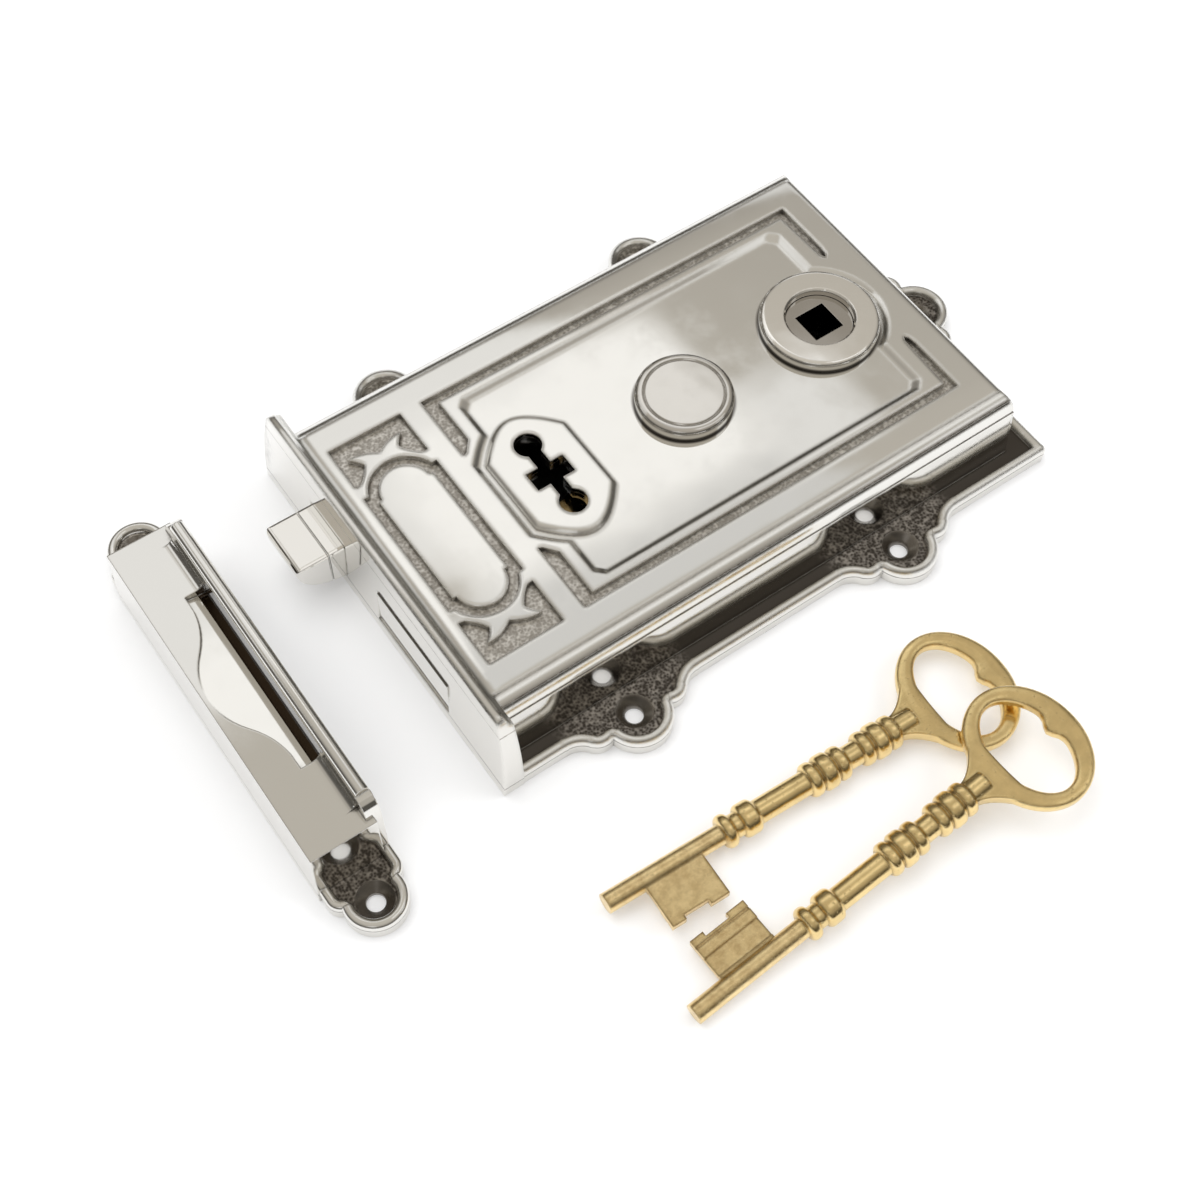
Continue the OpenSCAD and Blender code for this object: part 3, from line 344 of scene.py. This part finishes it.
def make_stipple_group():
    """Punched and cast grain of a matted ground, as a height and as bright points."""
    punch_height = 0.6
    cast_height = 0.7
    points_start = 0.44
    points_full = 0.92
    tree, source, sink = new_group(
        "matted_ground",
        [("Vector", VECTOR, None), ("Scale", FLOAT, 1700.0)],
        [("Height", FLOAT), ("Points", FLOAT)],
    )
    place = source["Vector"]
    cells = put(tree, "ShaderNodeTexVoronoi", feature="SMOOTH_F1", Vector=place, Scale=source["Scale"])
    punched = math_node(tree, "MULTIPLY", cells.outputs["Distance"], punch_height)
    coarse = noise(tree, place, scale=520.0, detail=6.0, roughness=0.68)
    height = math_node(tree, "MULTIPLY_ADD", coarse, cast_height, punched)
    feed(tree, sink["Height"], height)
    feed(tree, sink["Points"], remap(tree, height, points_start, points_full))
    return tree


def make_polish_group():
    """Polishing marks: slow swell of a hand-buffed casting with fine hairlines, and patches of haze."""
    stroke_turn = (0.2, 0.1, 0.6)
    stroke_scale = (300.0, 6000.0, 3000.0)
    hairline_height = 0.006
    tree, source, sink = new_group(
        "buffed_swell",
        [("Vector", VECTOR, None), ("Swell", FLOAT, 60.0), ("Hairlines", FLOAT, 1.0)],
        [("Height", FLOAT), ("Haze", FLOAT)],
    )
    place = source["Vector"]
    swell = noise(tree, place, source["Swell"], detail=1.0, roughness=0.4)
    strokes = put(tree, "ShaderNodeMapping", Vector=place, Rotation=stroke_turn, Scale=stroke_scale)
    lines = noise(tree, strokes.outputs[0], scale=1.0, detail=2.0)
    line_height = math_node(tree, "MULTIPLY", source["Hairlines"], hairline_height)
    fine = math_node(tree, "MULTIPLY", lines, line_height)
    feed(tree, sink["Height"], math_node(tree, "ADD", swell, fine))
    haze = patches(tree, place, scale=140.0, detail=4.0, roughness=0.6, start=0.35, full=0.75)
    feed(tree, sink["Haze"], haze)
    return tree


def make_hole_group():
    """Distance in plan from the nearest screw hole of the case or the keep."""
    tree, source, sink = new_group("screw_holes", [("Vector", VECTOR, None)], [("Distance", FLOAT)])
    place = source["Vector"]
    axes = axes_of(tree, place)
    side_x = off_pair(tree, axes["X"], EAR_MIDDLE, EAR_OFFSET)
    side_y = off_pair(tree, axes["Y"], 0.0, EAR_HOLE_Y)
    keep_x = math_node(tree, "SUBTRACT", axes["X"], KEEP_HOLE_X)
    keep_y = off_pair(tree, axes["Y"], KEEP_MIDDLE, KEEP_HOLE_Y)
    nearest = plan_distance(tree, place, (TAIL_HOLE_X, 0.0))
    nearest = math_node(tree, "MINIMUM", nearest, plan_length(tree, side_x, side_y))
    nearest = math_node(tree, "MINIMUM", nearest, plan_length(tree, keep_x, keep_y))
    feed(tree, sink["Distance"], nearest)
    return tree


crevice_patina_and_shade = make_crevice_group()
matted_ground = make_stipple_group()
buffed_swell = make_polish_group()
screw_holes = make_hole_group()


# Materials

def blank_material(name):
    """A material with nothing but its output."""
    material = bpy.data.materials.new(name)
    material.use_nodes = True
    tree = material.node_tree
    tree.nodes.clear()
    output = tree.nodes.new("ShaderNodeOutputMaterial")
    return material, tree, output.inputs["Surface"]


class Finish:
    """A metal finish that is built up in layers: its colour, roughness and normal so far."""

    def __init__(self, name):
        self.material, self.tree, surface = blank_material(name)
        self.shader = self.tree.nodes.new("ShaderNodeBsdfPrincipled")
        feed(self.tree, surface, self.shader.outputs[0])
        self.place = object_place(self.tree)

    def start(self, colour, rough, edge, samples=6):
        """The bare metal, with its edges shaded as if polished over to a radius."""
        self.colour = colour
        self.rough = rough
        self.normal = put(self.tree, "ShaderNodeBevel", samples=samples, Radius=edge).outputs[0]

    def cover(self, mask, colour, rough=None, share=None):
        """Lays a share of a colour where the mask shows it, and a roughness where one is given."""
        strength = mask if share is None else math_node(self.tree, "MULTIPLY", mask, share)
        self.colour = mix_colour(self.tree, strength, self.colour, colour)
        if rough is not None:
            self.rough = mix_values(self.tree, mask, self.rough, rough)

    def emboss(self, height, strength, depth, invert=False):
        """Shades the surface as if it were raised by a height."""
        relief = put(self.tree, "ShaderNodeBump", invert=invert, Strength=strength, Distance=depth)
        feed(self.tree, relief.inputs["Height"], height)
        feed(self.tree, relief.inputs["Normal"], self.normal)
        self.normal = relief.outputs[0]

    def close(self):
        """Sends the layers to the shader, and gives the material."""
        inputs = self.shader.inputs
        inputs["Metallic"].default_value = 1.0
        feed(self.tree, inputs["Base Color"], self.colour)
        feed(self.tree, inputs["Roughness"], self.rough)
        feed(self.tree, inputs["Normal"], self.normal)
        return self.material


def fall_to_edges(coat):
    """Lets the buffed border of the case fall away towards its long edges."""
    tree = coat.tree
    side = math_node(tree, "ABSOLUTE", axes_of(tree, coat.place)["Y"])
    past = math_node(tree, "MAXIMUM", math_node(tree, "SUBTRACT", side, PILLOW_START), 0.0)
    square = math_node(tree, "MULTIPLY", past, past)
    coat.emboss(math_node(tree, "MULTIPLY", square, -PILLOW_FALL), strength=1.0, depth=1.0)


def matt_grooves(coat, grain, patina_and_shade):
    """Lays the pale stippled floor of the ornament's grooves, and gives its mask."""
    tree = coat.tree
    dirt_share = 0.85
    floor = at_level(tree, coat.place, GROOVE_FLOOR)
    stipple = mix_colour(tree, grain["Points"], GROOVE_PITS, GROOVE_POINTS)
    hollow_darkening = math_node(tree, "MULTIPLY", patina_and_shade, dirt_share)
    coat.cover(floor, mix_colour(tree, hollow_darkening, stipple, GROOVE_DIRT), GROOVE_ROUGH)
    return floor


def matt_ears(coat, grain, casting):
    """Lays the dark stippled floor of the screw ears, and the plain flange of the case between them, painted
    dark as a painted reflection.
    """
    tree = coat.tree
    floor = at_level(tree, coat.place, EAR_FLOOR)
    # Towards the far side the ear floors are painted lighter, as painted reflected light
    far_light = remap(tree, axes_of(tree, coat.place)["Y"], 0.0, FAR_LIGHT_FROM)
    pits = mix_colour(tree, far_light, EAR_PITS, FAR_LIT_PITS)
    points = mix_colour(tree, far_light, EAR_POINTS, FAR_LIT_POINTS)
    tone = mix_colour(tree, grain["Points"], pits, points)
    stippled = floor
    if casting == "case":
        stippled = math_node(tree, "MULTIPLY", floor, near_ears(tree, coat.place))
        tone = mix_colour(tree, stippled, FLANGE_DARK_REFLECTION, tone)
    coat.cover(floor, tone, EAR_ROUGH)
    return stippled


def sink_screw_holes(coat):
    """Lays the turned faces of the countersunk screw holes, and gives their mask."""
    tree = coat.tree
    low = math_node(tree, "LESS_THAN", axes_of(tree, coat.place)["Z"], EAR_FLOOR - SINK_STEP)
    away = use_group(tree, screw_holes, Vector=coat.place)["Distance"]
    sunk = math_node(tree, "MULTIPLY", low, math_node(tree, "LESS_THAN", away, SINK_R))
    coat.cover(sunk, SINK_TONE, SINK_ROUGH)
    return sunk


def matt_floors(coat, patina_and_shade, casting):
    """Lays the stippled floors of the case or the keep, which stop at the countersunk holes."""
    tree = coat.tree
    grain = use_group(tree, matted_ground, Vector=coat.place)
    stippled = 0.0
    if casting == "case":
        stippled = matt_grooves(coat, grain, patina_and_shade)
    stippled = math_node(tree, "ADD", stippled, matt_ears(coat, grain, casting))
    sunk = sink_screw_holes(coat)
    stippled = math_node(tree, "MULTIPLY", stippled, inverse(tree, sunk))
    coat.emboss(math_node(tree, "MULTIPLY", grain["Height"], stippled), strength=0.55, depth=0.16 * MM)


def shade_round_feet(coat):
    """Lays painted contact shadow, with some patina, on the panel round the feet of the collar and the
    button.
    """
    tree = coat.tree
    ring = 0.0
    for node in ("collar", "button"):
        low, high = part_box(node)
        middle = ((low[0] + high[0]) / 2, (low[1] + high[1]) / 2)
        radius = (high[0] - low[0]) / 2
        away = plan_distance(tree, coat.place, middle)
        fade = remap(tree, away, radius + RING_START, radius + RING_END, RING_SHADOW, 0.0)
        ring = math_node(tree, "MAXIMUM", ring, fade)
    coat.cover(ring, PATINA_AND_SHADE)


def shade_foot(coat):
    """Lays painted contact shadow, with some patina, at the foot of a turned piece that stands on the panel.
    """
    height = axes_of(coat.tree, coat.place)["Z"]
    start = PANEL_TOP + FOOT_SHADOW_START
    end = PANEL_TOP + FOOT_SHADOW_END
    coat.cover(remap(coat.tree, height, start, end, FOOT_SHADOW, 0.0), PATINA_AND_SHADE)


def shade_keep_hollows(coat):
    """Paints the hollow, the slit and the mouth of the keep as dark raw casting, with painted shade."""
    for low, high in (KEEP_HOLLOW, KEEP_SLIT, KEEP_MOUTH):
        coat.cover(within(coat.tree, coat.place, low, high), SHADED_RAW_CASTING, RAW_ROUGH)


def make_nickel(name, face=NICKEL_FACE, wall=NICKEL_WALL_SHADED, edge=0.35 * MM, swell=60.0, swell_strength=0.2,
                reach=2.0 * MM, hollow_darkening=0.88, casting=None, foot=False):
    """Mirror nickel with a dark patina in its hollows, painted shade on its upright walls, and the matted
    floors of the case or the keep.
    """
    wall_facing = 0.1
    face_facing = 0.6
    coat = Finish(name)
    tree = coat.tree
    polish = use_group(tree, buffed_swell, Vector=coat.place, Swell=swell)
    patina_and_shade = use_group(tree, crevice_patina_and_shade, Vector=coat.place, Reach=reach, Onset=0.72)["Mask"]
    facing = tree.nodes.new("ShaderNodeTexCoord").outputs["Normal"]
    # Upright faces take the wall colour, which paints shade on them
    upward = remap(tree, axes_of(tree, facing)["Z"], wall_facing, face_facing)
    metal = mix_colour(tree, upward, wall, face)
    coat.start(metal, mix_values(tree, polish["Haze"], *NICKEL_ROUGH), edge)
    # Darkens the hollows: patina, and painted shade where the reach is long
    coat.cover(patina_and_shade, PATINA_AND_SHADE, PATINA_ROUGH, share=hollow_darkening)
    if casting == "case":
        fall_to_edges(coat)
    coat.emboss(polish["Height"], swell_strength, depth=0.25 * MM)
    if casting is not None:
        matt_floors(coat, patina_and_shade, casting)
    if casting == "case":
        shade_round_feet(coat)
    if casting == "keep":
        shade_keep_hollows(coat)
    if foot:
        shade_foot(coat)
    return coat.close()


def stain_pin(coat):
    """Lays the dull stains from a key's tip up to the end of its pin."""
    tree = coat.tree
    along = axes_of(tree, coat.place)["X"]
    dull = remap(tree, along, KEY_PIN_END - KEY_PIN_FADE, KEY_PIN_END, 1.0, 0.0)
    blotches = patches(tree, coat.place, scale=420.0, detail=5.0, roughness=0.65, start=0.35, full=0.7)
    coat.cover(dull, mix_colour(tree, blotches, STAIN_PALE, STAIN_DARK), STAIN_ROUGH, share=0.5)


def make_brass(name, light, edge, stained_pin=False):
    """Cast brass, buffed by hand: bright on the crowns, brown in the necks, with fine file marks."""
    cloud_tone = 0.86
    coat = Finish(name)
    tree = coat.tree
    polish = use_group(tree, buffed_swell, Vector=coat.place, Swell=240.0, Hairlines=30.0)
    patina_and_shade = use_group(tree, crevice_patina_and_shade, Vector=coat.place, Reach=2.2 * MM, Onset=0.88)["Mask"]
    clouds = patches(tree, coat.place, scale=220.0, detail=4.0, roughness=0.6, start=0.3, full=0.75)
    pits = patches(tree, coat.place, scale=1300.0, detail=3.0, roughness=0.5, start=0.62, full=0.74)
    metal = mix_colour(tree, clouds, light, scaled(light, cloud_tone))
    coat.start(metal, mix_values(tree, polish["Haze"], *BRASS_ROUGH), edge)
    coat.cover(pits, BRASS_BROWN, share=0.25)
    coat.cover(patina_and_shade, BRASS_BROWN, BROWN_ROUGH, share=0.85)
    if stained_pin:
        stain_pin(coat)
    coat.emboss(polish["Height"], strength=0.28, depth=0.2 * MM)
    coat.emboss(pits, strength=0.4, depth=0.08 * MM, invert=True)
    return coat.close()


def make_steel(name, tone, rough):
    """Rolled steel with a straight grain and a little tarnish."""
    grain_scale = (60.0, 2600.0, 2600.0)
    grain_tone = 0.72
    coat = Finish(name)
    tree = coat.tree
    rolled = put(tree, "ShaderNodeMapping", Vector=coat.place, Scale=grain_scale)
    grain = noise(tree, rolled.outputs[0], scale=1.0, detail=4.0, roughness=0.6)
    tarnish = patches(tree, coat.place, scale=90.0, detail=5.0, roughness=0.6, start=0.45, full=0.8)
    metal = mix_colour(tree, grain, tone, scaled(tone, grain_tone))
    coat.start(metal, mix_values(tree, grain, *rough), edge=0.2 * MM, samples=4)
    coat.cover(tarnish, STEEL_TARNISH, share=0.5)
    coat.emboss(grain, strength=0.25, depth=0.05 * MM)
    return coat.close()


# What the turned collar and button have in common
TURNED = {"edge": 0.4 * MM, "swell": 120.0, "swell_strength": 0.12, "reach": 1.0 * MM, "foot": True}
case_nickel = make_nickel("case_nickel", edge=1.4 * MM, casting="case")
keep_nickel = make_nickel("keep_nickel", edge=0.5 * MM, reach=3.0 * MM, hollow_darkening=0.85, casting="keep")
# The collar and the button are lit and shaded copies of the same nickel
collar_lit_nickel = make_nickel("collar_lit_nickel", COLLAR_FACE_LIT, **TURNED)
button_shaded_nickel = make_nickel("button_shaded_nickel", BUTTON_FACE_SHADED, **TURNED)
# The long reach and strong darkening of the hollow mask paint the shadow inside the square hole
socket_shaded_nickel = make_nickel("socket_shaded_nickel", SOCKET_FACE_SHADED, SOCKET_WALL_SHADOW, edge=0.25 * MM, reach=7.0 * MM,
                            hollow_darkening=0.9)
bolt_nickel = make_nickel("bolt_nickel", BOLT_FACE, edge=0.3 * MM, swell=90.0, swell_strength=0.25)
key_brass = make_brass("key_brass", KEY_BRASS, edge=1.1 * MM, stained_pin=True)
# The works are a shaded copy of the key's brass
shaded_works_brass = make_brass("shaded_works_brass", WORKS_BRASS_SHADED, edge=0.3 * MM)
plate_steel = make_steel("plate_steel", PLATE_STEEL, PLATE_ROUGH)
spring_steel = make_steel("spring_steel", SPRING_STEEL, SPRING_ROUGH)

FINISHES = {
    "case": case_nickel,
    "keep": keep_nickel,
    "collar": collar_lit_nickel,
    "button": button_shaded_nickel,
    "follower": socket_shaded_nickel,
    "latch_bolt": bolt_nickel,
    "deadbolt": bolt_nickel,
    "back_plate": plate_steel,
    "back_plate_screws": spring_steel,
    "lever_1": shaded_works_brass,
    "lever_2": shaded_works_brass,
    "lever_post": shaded_works_brass,
    "lever_spacer": shaded_works_brass,
    "bolt_stump": shaded_works_brass,
    "bolt_guide_pin": shaded_works_brass,
    "key_back": key_brass,
    "key_front": key_brass,
}


def dress(piece, material):
    """Gives a piece one material all over."""
    piece.data.materials.clear()
    piece.data.materials.append(material)


for node, finish in FINISHES.items():
    dress(nodes[node], finish)


# Springs between two bodies, copied whole from the imported meshes

# Corners of the imported triangles that lie this close are one
SEAM = 0.002 * MM


def make_object(name, work):
    """An object of the scene with the mesh that was worked."""
    mesh = bpy.data.meshes.new(name)
    work.to_mesh(mesh)
    work.free()
    piece = bpy.data.objects.new(name, mesh)
    scene.collection.objects.link(piece)
    return piece


def make_spring(node):
    """A copy of a spring's mesh with its doubled corners merged, dressed in spring steel, in place of the
    imported spring.
    """
    work = bmesh.new()
    work.from_mesh(nodes[node].data)
    bmesh.ops.remove_doubles(work, verts=work.verts, dist=SEAM)
    spring = make_object(node + "_wire", work)
    dress(spring, spring_steel)
    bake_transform(spring)
    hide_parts(node)


make_spring("latch_spring")
for index in (1, 2):
    make_spring(f"lever_spring_{index}")


# Studio

FLOOR_RADIUS = 6.0
FLOOR_DROP = 0.1 * MM
FLOOR_SURFACE = {
    "Base Color": (0.86, 0.86, 0.86, 1),
    "Roughness": 0.9,
    "Specular IOR Level": 0.0,
    "Emission Color": WHITE,
}
# Floor hidden under the case, which gets no glow, by its lowest and highest corners
COVERED = ((-70.0 * MM, -43.0 * MM, -1.0 * MM), (70.0 * MM, 43.0 * MM, 1.0 * MM))
# The floor's glow near the lock, and far off where the lamps no longer reach
GLOW_NEAR = 0.22
GLOW_FAR = 0.47
# The distances from the lock between which it goes from one to the other
GLOW_START = 0.5
GLOW_END = 1.6

# Strength of the world as a soft light on the lock
WORLD_FILL = 0.62

TENT_RADIUS = 1.8
TENT_FOOT = -1.0 * MM
# Brightness of the tent's cloth by the sine of the height above the floor, and the warm tint of the cloth
TENT_LEVELS = (
    (0.0, 0.55),
    (0.06, 0.10),
    (0.30, 0.10),
    (0.52, 0.34),
    (0.70, 0.48),
    (0.80, 0.56),
    (1.0, 0.60),
)
TENT_TINT = (1.0, 0.94, 0.84)
# Windows in the tent, by their edges along X and Y on a level plane one unit up, and their brightness
TENT_WINDOWS = (
    ((0.18, 0.54), (0.28, 0.50), 0.76),
    ((-0.40, 0.46), (0.53, 1.10), 0.95),
    ((0.52, 0.615), (0.43, 0.55), 0.92),
    ((0.25, 0.525), (0.49, 0.665), 1.14),
    ((0.10, 0.85), (-0.46, -0.08), 0.98),
    ((-1.40, -0.75), (0.75, 1.40), 0.90),
    ((0.75, 1.40), (0.75, 1.40), 0.80),
    ((-1.40, -0.75), (-1.40, -0.75), 0.85),
    ((0.75, 1.40), (-1.40, -0.75), 0.90),
)
WINDOW_TINT = (1.0, 0.99, 0.97)
WINDOW_EDGE = 0.02

# Lamps, by name, place, width and depth, and power. They are aimed at the middle of the set.
LAMP_AIM = (0, -0.03, 0)
LAMPS = (
    ("overhead_box", (-0.25, 0.35, 1.3), (1.4, 1.0), 9.0),
    ("side_box", (0.9, -0.5, 0.8), (0.8, 0.8), 4.0),
)


def seen_directly(tree):
    """1 for what the camera, a reflection or a clear piece shows, 0 for other light."""
    rays = tree.nodes.new("ShaderNodeLightPath").outputs
    either = math_node(tree, "MAXIMUM", rays["Is Camera Ray"], rays["Is Glossy Ray"])
    return math_node(tree, "MAXIMUM", either, rays["Is Transmission Ray"])


def make_floor():
    """A pale floor that keeps the lock's shadow, glows a little where it is seen, and is clear from below."""
    work = bmesh.new()
    bmesh.ops.create_circle(work, cap_ends=True, segments=96, radius=FLOOR_RADIUS)
    floor = make_object("floor", work)
    floor.location.z = -FLOOR_DROP
    material, tree, surface = blank_material("white_sweep")
    place = object_place(tree)
    lit = math_node(tree, "MULTIPLY", seen_directly(tree), inverse(tree, within(tree, place, *COVERED)))
    away = plan_distance(tree, place, (0.0, 0.0))
    glow = remap(tree, away, GLOW_START, GLOW_END, GLOW_NEAR, GLOW_FAR)
    sheet = put(tree, "ShaderNodeBsdfPrincipled", **FLOOR_SURFACE)
    feed(tree, sheet.inputs["Emission Strength"], math_node(tree, "MULTIPLY", lit, glow))
    below = tree.nodes.new("ShaderNodeNewGeometry").outputs["Backfacing"]
    clear = tree.nodes.new("ShaderNodeBsdfTransparent").outputs[0]
    one_sided = tree.nodes.new("ShaderNodeMixShader")
    feed(tree, surface, feed_in_order(tree, one_sided, below, sheet.outputs[0], clear))
    dress(floor, material)


def make_world():
    """A white surround where it is seen, and a soft light on the lock."""
    world = bpy.data.worlds.new("studio")
    world.use_nodes = True
    scene.world = world
    tree = world.node_tree
    back = tree.nodes["Background"].inputs
    back["Color"].default_value = WHITE
    feed(tree, back["Strength"], mix_values(tree, seen_directly(tree), WORLD_FILL, 1.0))


def cloth_light(tree, height):
    """The light of the tent's cloth by height."""
    ramp = put(tree, "ShaderNodeValToRGB", Fac=height)
    stops = ramp.color_ramp.elements
    for index, (where, level) in enumerate(TENT_LEVELS):
        stop = stops[index] if index < len(stops) else stops.new(where)
        stop.position = where
        stop.color = scaled(TENT_TINT, level)
    return ramp.outputs["Color"]


def soft_span(tree, value, low, high):
    """1 between two edges, 0 outside them, with a narrow fade at each."""
    above = remap(tree, value, low - WINDOW_EDGE, low + WINDOW_EDGE)
    below = remap(tree, value, high - WINDOW_EDGE, high + WINDOW_EDGE, 1.0, 0.0)
    return math_node(tree, "MULTIPLY", above, below)


def make_tent():
    """A light tent seen only in reflections: a pale foot, a dark band, grey cloth and bright windows."""
    work = bmesh.new()
    bmesh.ops.create_uvsphere(work, u_segments=64, v_segments=32, radius=TENT_RADIUS)
    under = [vert for vert in work.verts if vert.co.z < TENT_FOOT]
    bmesh.ops.delete(work, geom=under, context="VERTS")
    tent = make_object("tent", work)
    material, tree, surface = blank_material("tent_cloth")
    aim = put(tree, "ShaderNodeVectorMath", operation="NORMALIZE", Vector=object_place(tree))
    axes = axes_of(tree, aim.outputs["Vector"])
    light = cloth_light(tree, axes["Z"])
    across = math_node(tree, "DIVIDE", axes["X"], axes["Z"])
    along = math_node(tree, "DIVIDE", axes["Y"], axes["Z"])
    for x_edges, y_edges, level in TENT_WINDOWS:
        x_span = soft_span(tree, across, *x_edges)
        y_span = soft_span(tree, along, *y_edges)
        pane = math_node(tree, "MULTIPLY", x_span, y_span)
        light = mix_colour(tree, pane, light, scaled(WINDOW_TINT, level))
    cloth = put(tree, "ShaderNodeEmission", Color=light, Strength=1.0)
    feed(tree, surface, cloth.outputs[0])
    dress(tent, material)
    tent.visible_camera = False
    tent.visible_diffuse = False
    tent.visible_shadow = False
    tent.visible_transmission = False


def make_lamp(name, place, size, power):
    """A soft rectangular lamp, aimed at the lock and not seen in its polish."""
    data = bpy.data.lights.new(name, "AREA")
    data.shape = "RECTANGLE"
    data.size, data.size_y = size
    data.energy = power
    lamp = bpy.data.objects.new(name, data)
    lamp.location = place
    lamp.rotation_euler = (Vector(LAMP_AIM) - Vector(place)).to_track_quat("-Z", "Y").to_euler()
    lamp.visible_glossy = False
    scene.collection.objects.link(lamp)


make_floor()
make_world()
make_tent()
for lamp_values in LAMPS:
    make_lamp(*lamp_values)


# Camera at the photograph's angle

CAMERA_PLACE = Vector((-158.89, -194.09, 360.60)) * MM
CAMERA_FORWARD = (0.30515, 0.40944, -0.85979)
CAMERA_RIGHT = (0.81805, -0.57492, 0.01656)
SENSOR_WIDTH = 36.0
LENS_LENGTH = 54.81
NEAREST_SEEN = 0.01
FARTHEST_SEEN = 50.0


def make_camera():
    """The scene's camera, by its place and the directions it looks along and to its right."""
    data = bpy.data.cameras.new("camera")
    data.sensor_width = SENSOR_WIDTH
    data.lens = LENS_LENGTH
    data.clip_start = NEAREST_SEEN
    data.clip_end = FARTHEST_SEEN
    camera = bpy.data.objects.new("camera", data)
    scene.collection.objects.link(camera)
    forward = Vector(CAMERA_FORWARD).normalized()
    right = Vector(CAMERA_RIGHT).normalized()
    up = right.cross(forward)
    turn = Matrix((right, up, -forward)).transposed().to_4x4()
    camera.matrix_world = Matrix.Translation(CAMERA_PLACE) @ turn
    scene.camera = camera


make_camera()
